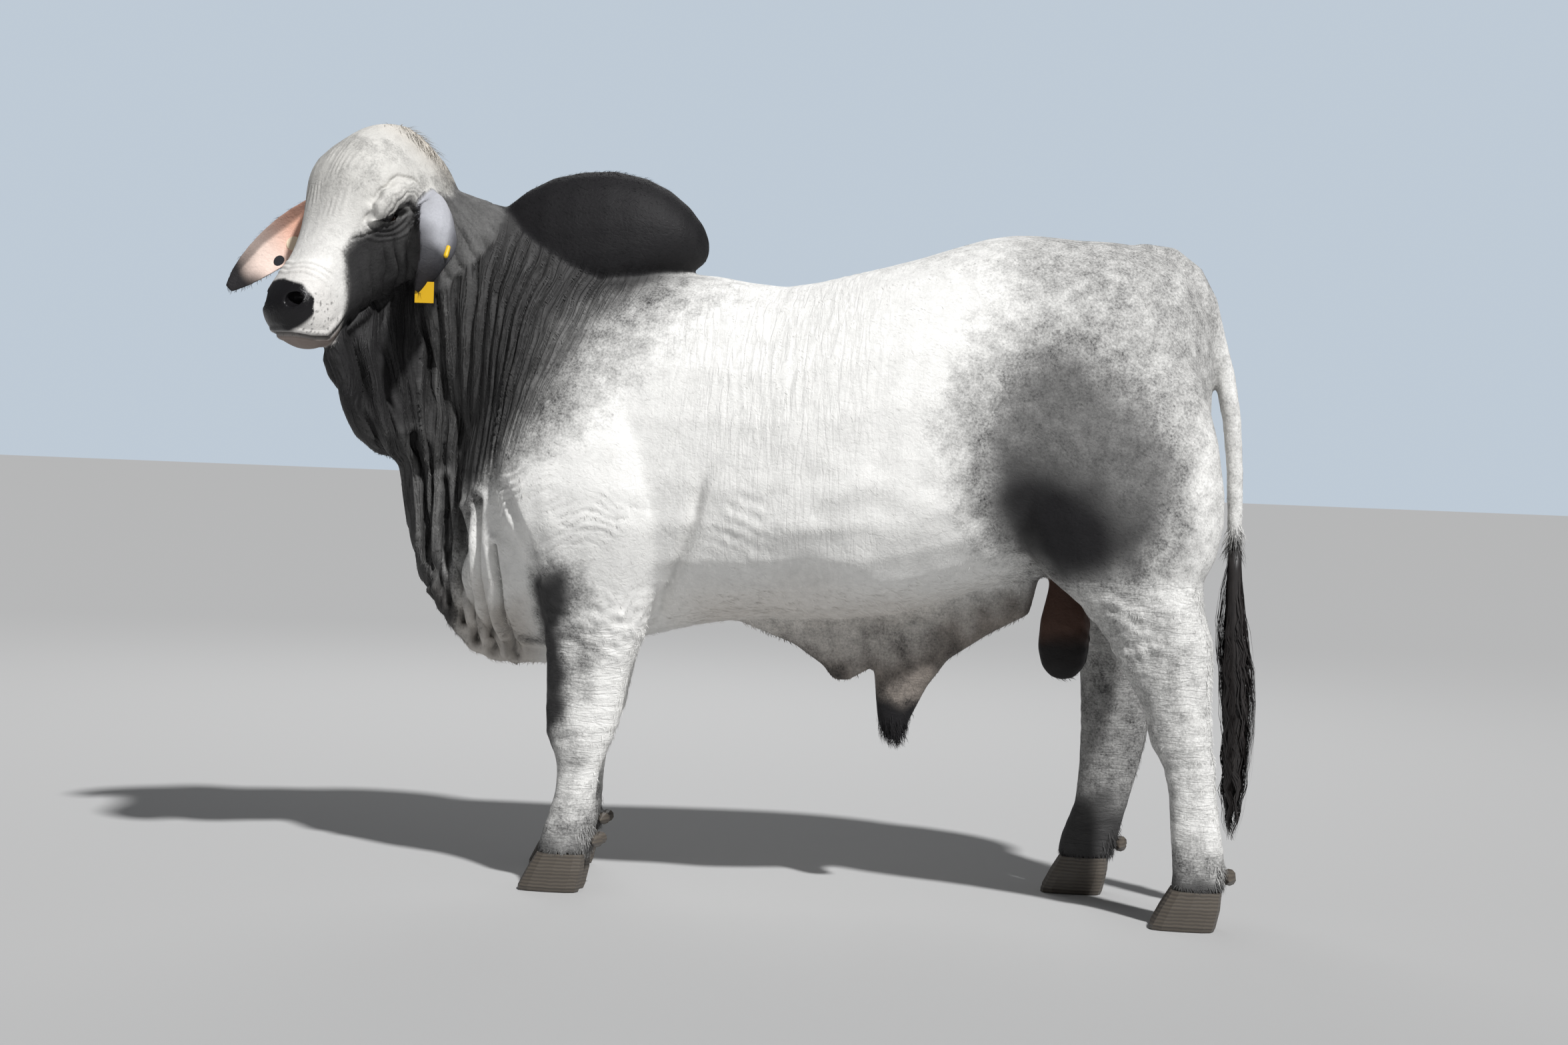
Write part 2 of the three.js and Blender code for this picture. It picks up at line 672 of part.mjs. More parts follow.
// Ears: leaves bent to a cup, hanging from behind the eyes
const EAR_ROWS = [
  // share of the length, half width, depth of the cup, thickness
  [0, 26, 26, 20],
  [0.1, 34, 34, 14],
  [0.25, 47, 34, 10],
  [0.42, 53, 26, 9],
  [0.6, 53, 20, 8],
  [0.78, 44, 14, 8],
  [0.92, 28, 8, 7],
  [1, 10, 2, 5],
];
function earAt({ root, bend, tip, opens }, share, half, depth, thick, u, inner) {
  const run = new THREE.QuadraticBezierCurve3(...[root, bend, tip].map((p) => new THREE.Vector3(...p)));
  const lie = run.getTangent(share);
  const open = new THREE.Vector3(...opens);
  open.addScaledVector(lie, -lie.dot(open)).normalize();
  const across = new THREE.Vector3().crossVectors(lie, open);
  const sag = depth * (1 - u * u) + (inner ? -thick * (1 - 0.35 * u * u) : 0);
  return run.getPoint(share).addScaledVector(across, u * half).addScaledVector(open, -sag);
}
function earForm(ear) {
  const steps = 5;
  return skinOver(
    smoothRows(EAR_ROWS, 2).map(([share, half, depth, thick]) => {
      const ring = [];
      const place = (i) => -1 + (2 * i) / steps;
      const narrowed = half * (1 - ear.narrow * THREE.MathUtils.smoothstep(share, 0.42, 0.8));
      const skin = (i, w, inner) => ring.push(earAt(ear, share, w, depth, thick, place(i), inner));
      for (let i = 0; i <= steps; i++) skin(i, narrowed, false);
      for (let i = steps; i >= 0; i--) skin(i, narrowed * 0.97, true);
      return ring;
    }),
  );
}
const ears = {
  left: {
    root: onHead(130, 96, -120).toArray(),
    bend: [-838, -330, 1452],
    tip: [-914, -345, 1318],
    opens: [-0.75, 0.6, -0.2],
    narrow: 0.3,
  },
  right: {
    root: onHead(118, -96, -108).toArray(),
    bend: [-1240, -120, 1495],
    tip: [-1406, -150, 1318],
    opens: [-0.25, -0.95, -0.1],
    narrow: 0,
  },
};
// Ear tags: where on the ear (share of its length, place across it), on which side, and their form
function tagAt(ear, share, u, inner, shape, lift) {
  const [half, depth, thick] = [54, 20, 8];
  const at = earAt(ear, share, half, depth, thick, u, inner);
  const along = earAt(ear, share + 0.05, half, depth, thick, u, inner).sub(at).normalize();
  const across = earAt(ear, share, half, depth, thick, u + 0.1, inner).sub(at);
  const out = new THREE.Vector3().crossVectors(across, along).normalize();
  across.crossVectors(along, out);
  at.addScaledVector(out, lift);
  return shape.applyMatrix4(new THREE.Matrix4().makeBasis(across, along, out).setPosition(at));
}
const disc = (radius, thick) => new THREE.CylinderGeometry(radius, radius, thick, 16).rotateX(Math.PI / 2);
const capsule = (radius, long) => new THREE.CapsuleGeometry(radius, long, 4, 10);
const tags = {
  left: [
    ["ear_tag_oval", tagAt(ears.left, 0.62, 0.34, false, capsule(5.5, 20), 1), yellowPlastic],
    ["ear_tag_flap", new THREE.BoxGeometry(42, 2.4, 46).translate(-898, -341, 1317), yellowPlastic],
  ],
  right: [
    ["ear_button_dark", tagAt(ears.right, 0.72, -0.56, true, disc(13, 5), 3.5), darkPlastic],
    ["ear_button_pale", tagAt(ears.right, 0.6, -0.28, true, disc(17, 5), 1), creamPlastic],
  ],
};
for (const side of ["left", "right"]) {
  let ear = solid(earForm(ears[side])).subtract(swollen(headForm));
  for (const [name, form, material] of tags[side]) {
    ear = ear.subtract(swollen(form, 0.6));
    node(name, solid(form), material);
  }
  node("ear_" + side, ear, hide);
}

// The origin is under the middle of the animal's bounding box.
const box = new THREE.Box3().setFromObject(bull);
const centre = box.getCenter(new THREE.Vector3());
bull.position.set(-centre.x, -centre.y, 0);
bull.updateMatrixWorld(true);
export default bull;
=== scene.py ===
"""A life-size model of a grey Brahman bull, as a museum workshop would finish it."""

import math

import bmesh
import bpy
import numpy as np
from mathutils import Matrix, Vector
from mathutils.bvhtree import BVHTree


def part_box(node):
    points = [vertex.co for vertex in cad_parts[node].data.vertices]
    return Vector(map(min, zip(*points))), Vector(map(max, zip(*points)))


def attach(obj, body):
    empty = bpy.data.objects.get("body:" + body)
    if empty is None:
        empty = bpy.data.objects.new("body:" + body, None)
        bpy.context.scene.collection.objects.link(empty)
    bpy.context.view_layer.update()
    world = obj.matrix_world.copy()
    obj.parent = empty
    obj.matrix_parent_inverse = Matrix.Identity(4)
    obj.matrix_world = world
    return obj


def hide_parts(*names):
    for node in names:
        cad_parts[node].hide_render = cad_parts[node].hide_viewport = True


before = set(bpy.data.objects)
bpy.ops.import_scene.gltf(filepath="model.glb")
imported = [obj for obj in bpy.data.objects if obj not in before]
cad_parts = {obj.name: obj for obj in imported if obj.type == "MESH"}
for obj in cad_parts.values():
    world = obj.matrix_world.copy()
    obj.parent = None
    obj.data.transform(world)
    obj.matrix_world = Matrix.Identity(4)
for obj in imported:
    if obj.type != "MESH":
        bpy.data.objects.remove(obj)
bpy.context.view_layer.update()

# The skin: one loose hide over the whole body, cast in one piece from the joined flesh forms,
# worked smooth with the thumb, then modelled with the folds and wrinkles of a zebu.

FLESH = ["head", "neck", "torso", "hump", "dewlap", "sheath", "scrotum", "tail_dock"]
FLESH += ["ear_left", "ear_right"]
for leg in ("foreleg_left", "foreleg_right", "hindleg_left", "hindleg_right"):
    FLESH += [leg + "_upper", leg + "_lower"]
GRAIN = 0.0046  # m between the skin's points
SWELL, EAR_SWELL = 0.0006, 0.0036  # m
SHEATH_TOP, SHEATH_BACK, DRAWN_UP = 0.66, 0.25, 0.055  # m

# The body's own frame has its origin on the floor under the barrel.
HIND_TOE, HALF_STANCE = 0.719, 0.2  # m back to the near hind hoof's toe, and out to its shank
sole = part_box("hindfoot_left_claw_inner")
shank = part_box("hindleg_left_lower")
SHIFT = np.array([sole[0].x - HIND_TOE, (shank[0].y + shank[1].y) / 2 + HALF_STANCE, 0.0])

# The head's own frame: along the face from the poll, across to its left, and up off the face.
POLL = np.array([-1.016, -0.150, 1.702])
HEAD_YAW, HEAD_PITCH = math.radians(52), math.radians(50)
facing = np.array([-math.cos(HEAD_YAW), -math.sin(HEAD_YAW), 0.0])
ACROSS = np.cross([0, 0, 1.0], facing)
ALONG = facing * math.cos(HEAD_PITCH) + np.array([0, 0, -math.sin(HEAD_PITCH)])
UP = np.cross(ALONG, ACROSS)


def on_body(points):
    """The part's frame to the body's own: x to the tail, y to the right side, z up, in metres."""
    return points - SHIFT


def on_head(body):
    """The body's frame to the head's, in metres."""
    offset = body - POLL
    return np.stack([offset @ ALONG, offset @ ACROSS, offset @ UP], 1)


def ease(value, start, end):
    """0 before start, 1 after end, and a smooth rise between."""
    t = np.clip((value - start) / (end - start), 0, 1)
    return t * t * (3 - 2 * t)


def bell(value, width):
    """1 at 0, falling away in a soft bell."""
    return np.exp(-((value / width) ** 2))


def waves(value, size):
    """A sine wave whose crests are a size in metres apart."""
    return np.sin(value / size * 2 * math.pi)


def bump_at(value, middle, width):
    """1 at the middle, fading to 0 at a width from it."""
    t = np.clip(1 - ((value - middle) / width) ** 2, 0, 1)
    return t * t


def ripple(points, size, seed, count=14):
    """A smooth random field between about -1 and 1 whose lumps are of a size in metres."""
    draw = np.random.default_rng(seed)
    total = np.zeros(len(points))
    for _ in range(count):
        way = draw.normal(size=3)
        way *= draw.uniform(0.6, 1.5) / np.linalg.norm(way)
        total += np.sin(points @ (way * math.pi / size) + draw.uniform(0, 2 * math.pi))
    return total / math.sqrt(count / 2) / 1.6


def new_object(name, data):
    made = bpy.data.objects.new(name, data)
    bpy.context.scene.collection.objects.link(made)
    return made


def shade_smooth(mesh):
    for face in mesh.polygons:
        face.use_smooth = True


# The forms are swollen a little so that they run into one another, then cast again as one surface.
# The ears are too thin for the casting's grain, so they are cast thick and pared down afterwards.
cast = bmesh.new()
thick_from = 0
for name in sorted(FLESH, key=lambda name: "ear_" in name):
    if "ear_" in name and not thick_from:
        thick_from = len(cast.verts)
    first = len(cast.verts)
    cast.from_mesh(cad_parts[name].data)
    if name == "sheath":  # its hind end is drawn up into the groin
        cast.verts.ensure_lookup_table()
        for point in cast.verts[first:]:
            if point.co.z > SHEATH_TOP and point.co.x > SHIFT[0] + SHEATH_BACK:
                point.co.z += DRAWN_UP
cast.normal_update()
for place, point in enumerate(cast.verts):
    point.co += point.normal * (EAR_SWELL if place >= thick_from else SWELL)
rough = bpy.data.meshes.new("rough cast")
cast.to_mesh(rough)
cast.free()
rough_object = new_object("rough cast", rough)
recast = rough_object.modifiers.new("recast", "REMESH")
recast.mode = "VOXEL"
recast.voxel_size = GRAIN
graph = bpy.context.evaluated_depsgraph_get()
skin_mesh = bpy.data.meshes.new_from_object(rough_object.evaluated_get(graph))
skin_mesh.name = "hide"
bpy.data.objects.remove(rough_object)


def points_of(mesh):
    co = np.empty(len(mesh.vertices) * 3)
    mesh.vertices.foreach_get("co", co)
    return co.reshape(-1, 3)


def normals_of(mesh):
    no = np.empty(len(mesh.vertices) * 3, np.float32)
    mesh.vertex_normals.foreach_get("vector", no)
    return no.reshape(-1, 3).astype(float)


def edges_of(mesh):
    ends = np.empty(len(mesh.edges) * 2, int)
    mesh.edges.foreach_get("vertices", ends)
    return ends.reshape(-1, 2)


def set_points(mesh, co):
    mesh.vertices.foreach_set("co", co.astype(np.float32).ravel())
    mesh.update()


def spread_out(values, ends, rounds, pull=0.5):
    """Evens out rows of values over the mesh's edges. pull may differ from point to point."""
    values = values.copy()
    count = len(values)
    near = np.maximum(np.bincount(ends.ravel(), minlength=count), 1)
    pull = np.broadcast_to(pull, (count,))[:, None]
    for _ in range(rounds):
        total = np.empty_like(values)
        for k in range(values.shape[1]):
            total[:, k] = np.bincount(ends[:, 0], values[ends[:, 1], k], count)
            total[:, k] += np.bincount(ends[:, 1], values[ends[:, 0], k], count)
        values += pull * (total / near[:, None] - values)
    return values


co = points_of(skin_mesh)
ends = edges_of(skin_mesh)
carved_part = []
corners, faces = [], []
for part, name in enumerate(FLESH):
    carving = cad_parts[name].data
    faces += [[len(corners) + i for i in polygon.vertices] for polygon in carving.polygons]
    corners += [point.co.copy() for point in carving.vertices]
    carved_part += [part] * len(carving.polygons)
carving_tree = BVHTree.FromPolygons(corners, faces)


def nearest_part(points):
    """Which flesh form each point lies on."""
    return np.array([carved_part[carving_tree.find_nearest(point)[2]] for point in points])


def share_of(*names, rounds=4):
    """1 on the skin of the named forms, 0 off them, and soft over a few points at their edges."""
    inside = np.isin(owner, [FLESH.index(name) for name in names]).astype(float)
    return spread_out(inside[:, None], ends, rounds)[:, 0]


owner = nearest_part(co)
is_ear = share_of("ear_left", "ear_right", rounds=2)
is_head = share_of("head")
is_dewlap = share_of("dewlap")
is_foot = ease(0.16 - co[:, 2], 0, 0.05)
pull = 0.5 * (1 - 0.8 * is_head) * (1 - 0.95 * is_ear) * (1 - 0.7 * is_dewlap) * (1 - 0.6 * is_foot)
smooth = spread_out(co, ends, 44, pull)
co = smooth - spread_out(smooth - co, ends, 24, 0.5 * (1 - 0.9 * is_ear))
on_ear = ease(is_ear, 0.35, 0.95)
pared = [carving_tree.find_nearest(point)[0] if keen > 0 else point for point, keen in zip(co, on_ear)]
co += (np.array(pared) - co) * on_ear[:, None]
co = spread_out(co, ends, 5, 0.4 * is_ear)
set_points(skin_mesh, co)

# The head is cut twice as fine, for the lids and wrinkles.
fine = bmesh.new()
fine.from_mesh(skin_mesh)
fine.verts.ensure_lookup_table()
head = on_head(on_body(co))
in_head = (head[:, 0] > -0.02) & (head[:, 2] > -0.25) & (np.abs(head[:, 1]) < 0.15) & (is_ear < 0.5)
chosen = [e for e in fine.edges if in_head[e.verts[0].index] and in_head[e.verts[1].index]]
bmesh.ops.subdivide_edges(fine, edges=chosen, cuts=1, use_grid_fill=True)
fine.to_mesh(skin_mesh)
fine.free()

co = points_of(skin_mesh)
ends = edges_of(skin_mesh)
normal = normals_of(skin_mesh)
body = on_body(co)
head = on_head(body)
x, y, z = body.T
along, across, up = head.T
owner = nearest_part(co)
LEGS = [name for name in FLESH if "leg" in name]
is_ear = share_of("ear_left", "ear_right", rounds=2)
is_head = share_of("head")
is_neck = share_of("neck")
is_hump = share_of("hump")
is_dewlap = share_of("dewlap")
is_leg = share_of(*LEGS)
is_fore = share_of(*(name for name in LEGS if "fore" in name), rounds=8)
is_trunk = share_of("torso", "neck", "hump", "dewlap", rounds=6)

# where the charcoal of the neck ends, and with it the long folds
grey_edge = np.interp(
    z,
    [0.52, 0.60, 0.70, 0.76, 0.84, 0.90, 0.98, 1.06, 1.16, 1.26, 1.36, 1.42],
    [-0.90, -0.90, -0.90, -0.885, -0.855, -0.82, -0.71, -0.64, -0.60, -0.545, -0.41, -0.33],
)


def path_distance(path):
    """Distance in side view from a line through (x, z) points."""
    best = np.full(len(x), 9.0)
    here = np.stack([x, z], 1)
    for a, b in zip(np.array(path[:-1]), np.array(path[1:])):
        run = b - a
        t = np.clip((here - a) @ run / (run @ run), 0, 1)[:, None]
        gap = here - (a + t * run)
        best = np.minimum(best, np.hypot(gap[:, 0], gap[:, 1]))
    return best


raise_by = -0.0012 * (1 - is_ear)
is_tail = share_of("tail_dock", rounds=2)
raise_by += 0.0035 * is_tail * ease(1.25 - z, 0, 0.15) * ease(z, 0.80, 0.88)

# Neck: long folds that fan from the crest down to the brisket, deepest at the throat
drop = (1.5 - z) / 0.57
fold = x.copy()
for _ in range(4):
    lean = np.where(fold > -0.93, -0.22 * (np.clip(fold + 0.93, 0, 1) / 0.43) ** 1.3, -0.5 * (fold + 0.93))
    fold = x - np.clip(lean, -0.4, 0.06) * drop
wander = 0.010 * ripple(body * [1, 1, 0.3], 0.10, 11) + 0.004 * ripple(body * [1, 1, 0.5], 0.045, 12)
fold_place = fold + wander
STRIDE = 0.005
steps = np.arange(-1.3, 0, STRIDE)
apart = np.interp(steps, [-1.05, -0.88, -0.7, -0.5], [0.050, 0.043, 0.033, 0.026])  # m between folds
phase = np.interp(fold_place, steps, np.cumsum(1 / apart) * STRIDE)
ridge = np.abs(np.sin(math.pi * phase)) ** 0.62 - 0.62
fold_depth = np.interp(fold, [-1.1, -0.92, -0.80, -0.62, -0.5], [0.021, 0.021, 0.017, 0.011, 0.005])
fold_depth *= 1 + 0.45 * ripple(np.stack([np.round(phase) * 0.37, y, z * 0.4], 1), 0.3, 13)
on_neck = ease(grey_edge - x, -0.06, 0.10) * ease(z, 0.50, 0.58)
on_neck *= 1 - is_head * (1 - ease(-up, 0.15, 0.22) * ease(0.36 - along, 0, 0.08))
on_neck *= 1 - is_ear
on_neck *= 1 - np.clip(is_hump * 1.2, 0, 1) * ease(z, 1.33, 1.45)
on_neck *= 1 - 0.8 * ease(z + 0.35 * (x + 0.8), 1.42, 1.53)
on_neck *= 1 - 0.85 * is_head * ease(-up, -0.1, 0.3)
raise_by += on_neck * fold_depth * ridge

# Brisket: the dewlap hangs in upright pleats, each ending lower than the one in front of it
for path in (
    [(-0.975, 1.00), (-0.955, 0.80), (-0.945, 0.66)],
    [(-0.915, 0.90), (-0.903, 0.76), (-0.895, 0.62)],
    [(-0.872, 0.90), (-0.868, 0.74), (-0.862, 0.58)],
    [(-0.838, 0.83), (-0.836, 0.68), (-0.830, 0.54)],
    [(-0.803, 0.86), (-0.800, 0.66), (-0.792, 0.52)],
    [(-0.762, 0.76), (-0.752, 0.62), (-0.735, 0.50)],
):
    far = np.abs(path_distance(path) + 0.007 * ripple(body * [1, 1, 0.4], 0.05, 27))
    raise_by += (0.006 * bell(far - 0.018, 0.011) - 0.020 * bell(far, 0.0075)) * ease(-x, 0.70, 0.76)

# Shoulder: a fold behind the elbow with lesser ones before it, and arched wrinkles over the leg's top
ELBOW = [(-0.255, 1.00), (-0.285, 0.90), (-0.298, 0.83), (-0.337, 0.736), (-0.371, 0.668), (-0.394, 0.60)]
elbow = path_distance(ELBOW)
on_side = ease(np.abs(y), 0.10, 0.18)
raise_by -= 0.016 * bell(elbow, 0.014) * on_side * ease(1.0 - z, 0, 0.14)
elbow_x = np.interp(z, [0.6, 0.736, 0.83, 1.0], [-0.394, -0.337, -0.298, -0.255])
ahead_of = np.where(x < elbow_x, elbow, -elbow)
wavy = 0.011 * ripple(body, 0.06, 15)
patchy = ease(ripple(body, 0.07, 16), -0.3, 0.7)
arcs = waves(ahead_of + wavy, 0.0175) * bump_at(ahead_of, 0.045, 0.055) * bump_at(z, 0.70, 0.17)
raise_by += 0.0018 * arcs * on_side * patchy
over = np.hypot(x + 0.505, (z - 0.665) * 0.9)
arch = waves(over + wavy, 0.0165) * bump_at(over, 0.165, 0.075) * ease(z + 0.3 * (x + 0.5), 0.68, 0.76)
raise_by += 0.0008 * arch * on_side * ease(-x, 0.40, 0.50) * patchy
around = np.arctan2(z - 0.665, x + 0.505)
lines = ripple(np.stack([over, around * 0.05, 0 * over], 1), 0.0155, 18, 22)
creased = bump_at(over, 0.19, 0.15) * ease(-x, 0.30, 0.42) * ease(z, 0.66, 0.74) * on_side
raise_by -= 0.0024 * creased * patchy * bell(lines, 0.22)
armpit = path_distance([(-0.655, 0.70), (-0.672, 0.78), (-0.70, 0.84), (-0.73, 0.90)])
raise_by -= 0.012 * bump_at(armpit, 0, 0.022) * on_side
slanted = waves(z - 0.55 * x + wavy * 1.3, 0.0185)
raise_by += 0.0020 * patchy * slanted * bump_at(x, -0.70, 0.14) * bump_at(z, 0.90, 0.14) * on_side
blade = np.exp(-(((x + 0.47) / 0.14) ** 2) - (((z - 0.93) / 0.17) ** 2))
raise_by += 0.006 * blade * on_side

# Barrel: upright ripples behind the hump, crinkled skin over the ribs and belly
behind = bump_at(x, -0.15, 0.30) * ease(z, 0.90, 1.20) * (1 - is_hump)
ribwise = waves(x + 0.05 * (z - 1.2) + 0.9 * wander, 0.026)
raise_by += 0.0009 * behind * ease(ripple(body, 0.09, 17), -0.6, 0.8) * ribwise
crepe = ripple(body * [1, 1, 1.8], 0.026, 21) + 0.6 * ripple(body * [1.6, 1.6, 1], 0.015, 22)
loose = bump_at(z, 0.60, 0.13) * bump_at(x, -0.50, 0.42) * 0.5
loose += 0.8 * bump_at(z, 0.62, 0.14) * bump_at(x, 0.64, 0.2)
behind_elbow = 0.35 * bump_at(z, 0.84, 0.20) * bump_at(x, -0.19, 0.13)
loose += behind_elbow + 0.5 * bump_at(z, 0.66, 0.10) * bump_at(x, 0.05, 0.45)
raise_by += 0.0028 * np.clip(loose, 0, 1) * crepe
lumps = ripple(body * [1, 1, 1.4], 0.085, 24) + 0.5 * ripple(body, 0.040, 25)
raise_by += 0.0030 * lumps * bump_at(z, 0.86, 0.26) * bump_at(x, 0.03, 0.42) * on_side

sag = ripple(body * [1, 1, 0.6], 0.11, 28)
raise_by += 0.006 * sag * bump_at(z, 0.72, 0.14) * bump_at(x, -0.02, 0.36) * on_side

# Flank and thigh: the web of skin before the stifle, and level wrinkles on gaskin, knees and hocks
flank_web = path_distance([(0.30, 0.90), (0.37, 0.80), (0.45, 0.73), (0.53, 0.68)])
raise_by -= 0.005 * bump_at(flank_web, 0, 0.040) * on_side
level = ripple(body * [0.5, 0.5, 3.0], 0.040, 23)
wrinkled = bump_at(z, 0.62, 0.16) * 0.9 + bump_at(z, 0.38, 0.12) + bump_at(z, 0.17, 0.07)
raise_by += 0.0010 * is_leg * level * wrinkled

# Eyes in the head's frame, and the slit between the lids, which slants forwards and down
EYE = np.array([0.238, 0.100, -0.062])
SLANT = math.radians(30)
eye_run = (along - EYE[0]) * math.cos(SLANT) + (up - EYE[2]) * math.sin(SLANT)
eye_rise = -(along - EYE[0]) * math.sin(SLANT) + (up - EYE[2]) * math.cos(SLANT)
on_face_side = ease(np.abs(across), 0.062, 0.085) * is_head * (1 - is_ear)
near_eye = on_face_side * ease(0.13 - np.hypot(eye_run, eye_rise), 0, 0.03)


def face_path(path):
    """Distance from a line through (along, up) points on the side of the head, and + above it, - below."""
    best, signed = np.full(len(along), 9.0), np.zeros(len(along))
    here = np.stack([along, up], 1)
    for a, b in zip(np.array(path[:-1]), np.array(path[1:])):
        run = b - a
        t = np.clip((here - a) @ run / (run @ run), 0, 1)[:, None]
        gap = here - (a + t * run)
        far = np.hypot(gap[:, 0], gap[:, 1])
        closer = far < best
        best[closer] = far[closer]
        signed[closer] = np.sign(run[0] * gap[:, 1] - run[1] * gap[:, 0])[closer] * far[closer]
    return signed


# a puffed hood of skin over the eye, pleated along its lower edge, and a fold below the eye
HOOD = [(0.134, -0.092), (0.136, -0.050), (0.163, -0.018), (0.209, -0.004)]
HOOD += [(0.248, -0.006), (0.282, -0.030), (0.300, -0.052)]
wobble = 0.0022 * ripple(head, 0.022, 41)
under_hood = -face_path(HOOD) + wobble
puff = ease(under_hood, -0.003, 0.009) * (1 - 0.9 * ease(under_hood, 0.040, 0.056))
above_slit = ease(eye_rise, -0.002, 0.008)
raise_by += 0.0125 * puff * above_slit * near_eye
raise_by -= 0.0045 * near_eye * bell(under_hood + 0.004, 0.0045) * ease(eye_rise, 0.0, 0.02)
pleat = np.abs(np.sin(math.pi * (under_hood + 0.5 * wobble) / 0.0105)) ** 0.6 - 0.6
raise_by += 0.0042 * near_eye * above_slit * pleat * bump_at(under_hood, 0.032, 0.028)
for k, reach in enumerate((0.026, 0.036, 0.048)):
    ring = np.hypot(eye_run / 1.5, eye_rise) - reach + 0.4 * wobble
    raise_by += (0.0030 - 0.0006 * k) * near_eye * bump_at(ring, 0, 0.0050) * ease(-eye_rise, 0.002, 0.012)
far_brow = 0.017 * bump_at(along, 0.155, 0.115) * bump_at(up, -0.01, 0.10)
raise_by += far_brow * ease(-across, 0.05, 0.10) * is_head * (1 - is_ear)
tear = face_path([(0.262, -0.066), (0.285, -0.060), (0.310, -0.048), (0.330, -0.034)])
raise_by -= 0.0035 * near_eye * bell(tear, 0.0035)

# Forehead: long soft wrinkles down the face, and short ones over the nose behind the muzzle
forehead = bump_at(along, 0.21, 0.19) * ease(up, -0.07, -0.01) * is_head
furrow = np.abs(across) + 0.007 * ripple(head * [0.35, 1, 1], 0.05, 3) + 0.10 * np.abs(along - 0.16)
raise_by += 0.0007 * forehead * waves(furrow, 0.017) * ease(ripple(head, 0.045, 42), -0.4, 0.7)
for place in (0.432, 0.446, 0.459):
    over_nose = bump_at(along + 0.25 * np.abs(across), place, 0.007)
    raise_by += 0.0016 * is_head * over_nose * ease(up, -0.07, -0.04)
clear_of_eye = 1 - np.clip(2 * near_eye, 0, 1) * ease(eye_rise, -0.05, -0.02)
cheek_fold = ease(-up, 0.075, 0.13) * bump_at(along, 0.24, 0.26) * is_head * clear_of_eye
cheek_run = along + 0.42 * up + 0.007 * ripple(head, 0.05, 5)
raise_by += 0.0100 * cheek_fold * (np.abs(np.sin(cheek_run / 0.036 * math.pi)) ** 0.6 - 0.6)

# Muzzle: the line of the mouth between soft lips
MOUTH = [0.44, 0.469, 0.517, 0.544, 0.564, 0.59], [-0.150, -0.152, -0.146, -0.116, -0.082, -0.05]
lip_line = up - np.interp(along, *MOUTH)
at_mouth = ease(along, 0.445, 0.475) * is_head
raise_by -= 0.005 * at_mouth * bump_at(lip_line, 0, 0.005)
raise_by += 0.003 * at_mouth * (bump_at(lip_line, 0.013, 0.012) + bump_at(lip_line, -0.012, 0.010))

co = co + normal * raise_by[:, None]
# the lids draw together over the ball until only a slit is left, and keep clear of the glass
close = 0.62 * near_eye * np.exp(-((eye_rise / 0.020) ** 2) - (eye_run / 0.040) ** 2)
shut = -(close * (eye_rise - 0.001))[:, None]
co += shut * (-math.sin(SLANT) * ALONG + math.cos(SLANT) * UP)
CLEAR_OF_GLASS = 0.0236  # m from the middle of the ball
for sign in (1, -1):
    ball = POLL + ALONG * EYE[0] + ACROSS * EYE[1] * sign + UP * EYE[2] + SHIFT
    off = co - ball
    far = np.linalg.norm(off, axis=1)
    inside = (far < CLEAR_OF_GLASS) & (far > 0.001)
    push = np.where(inside, CLEAR_OF_GLASS / np.maximum(far, 0.001), 1.0)
    co = ball + off * push[:, None]
# how far each point lies below or above its neighbours: the hide's colour is darkened in the hollows as
# painted shade
hollow = raise_by - spread_out(raise_by[:, None], ends, 12)[:, 0]
# painted highlight: the fold tops, which are painted paler further on
painted_crest_highlight = ease(hollow, 0.0005, 0.0050)
hollow = ease(-hollow, 0.0006, 0.0070)
set_points(skin_mesh, co)
skin = new_object("hide", skin_mesh)
shade_smooth(skin_mesh)

# Markings: a grey Brahman's coat, charcoal on neck, hump and cheeks, cream on the face, white on the
# barrel and mottled on the thigh, and some painted shade. The shader and the tufts take them from the skin's
# points.


def linear(code):
    """An sRGB hex colour as linear red, green and blue."""
    parts = np.array([int(code[i : i + 2], 16) for i in (1, 3, 5)]) / 255
    return np.where(parts <= 0.04045, parts / 12.92, ((parts + 0.055) / 1.055) ** 2.4)


cloud = ripple(body, 0.16, 31)
dapple = ripple(body, 0.045, 32)
speck = ripple(body, 0.013, 33)
pale_hair_and_shade = np.tile(linear("#f3f2ef"), (len(co), 1))
dark_hair_and_shade = np.zeros(len(co))


def tint(code, share):
    pale_hair_and_shade[:] += (linear(code) - pale_hair_and_shade) * np.clip(share, 0, 1)[:, None]


def darken(amount, share):
    dark_hair_and_shade[:] += (amount - dark_hair_and_shade) * np.clip(share, 0, 1)


# barrel, rump and loin, with a warm grey tint low on the barrel, darker towards the belly
darken(0.03, np.ones(len(co)))
darken(0.16, ease(z + 0.03 * cloud, 1.32, 1.45) * ease(x, -0.10, 0.25))
darken(0.52, ease(x + 0.35 * z + 0.05 * cloud, 0.76, 1.04) * ease(z + 0.05 * cloud, 0.96, 1.20))
warm = 0.6 * ease(0.76 - z + 0.02 * cloud, 0.0, 0.16) * ease(x, -0.42, -0.25)
tint("#d0c8bf", warm * ease(0.50 - x, 0, 0.12))
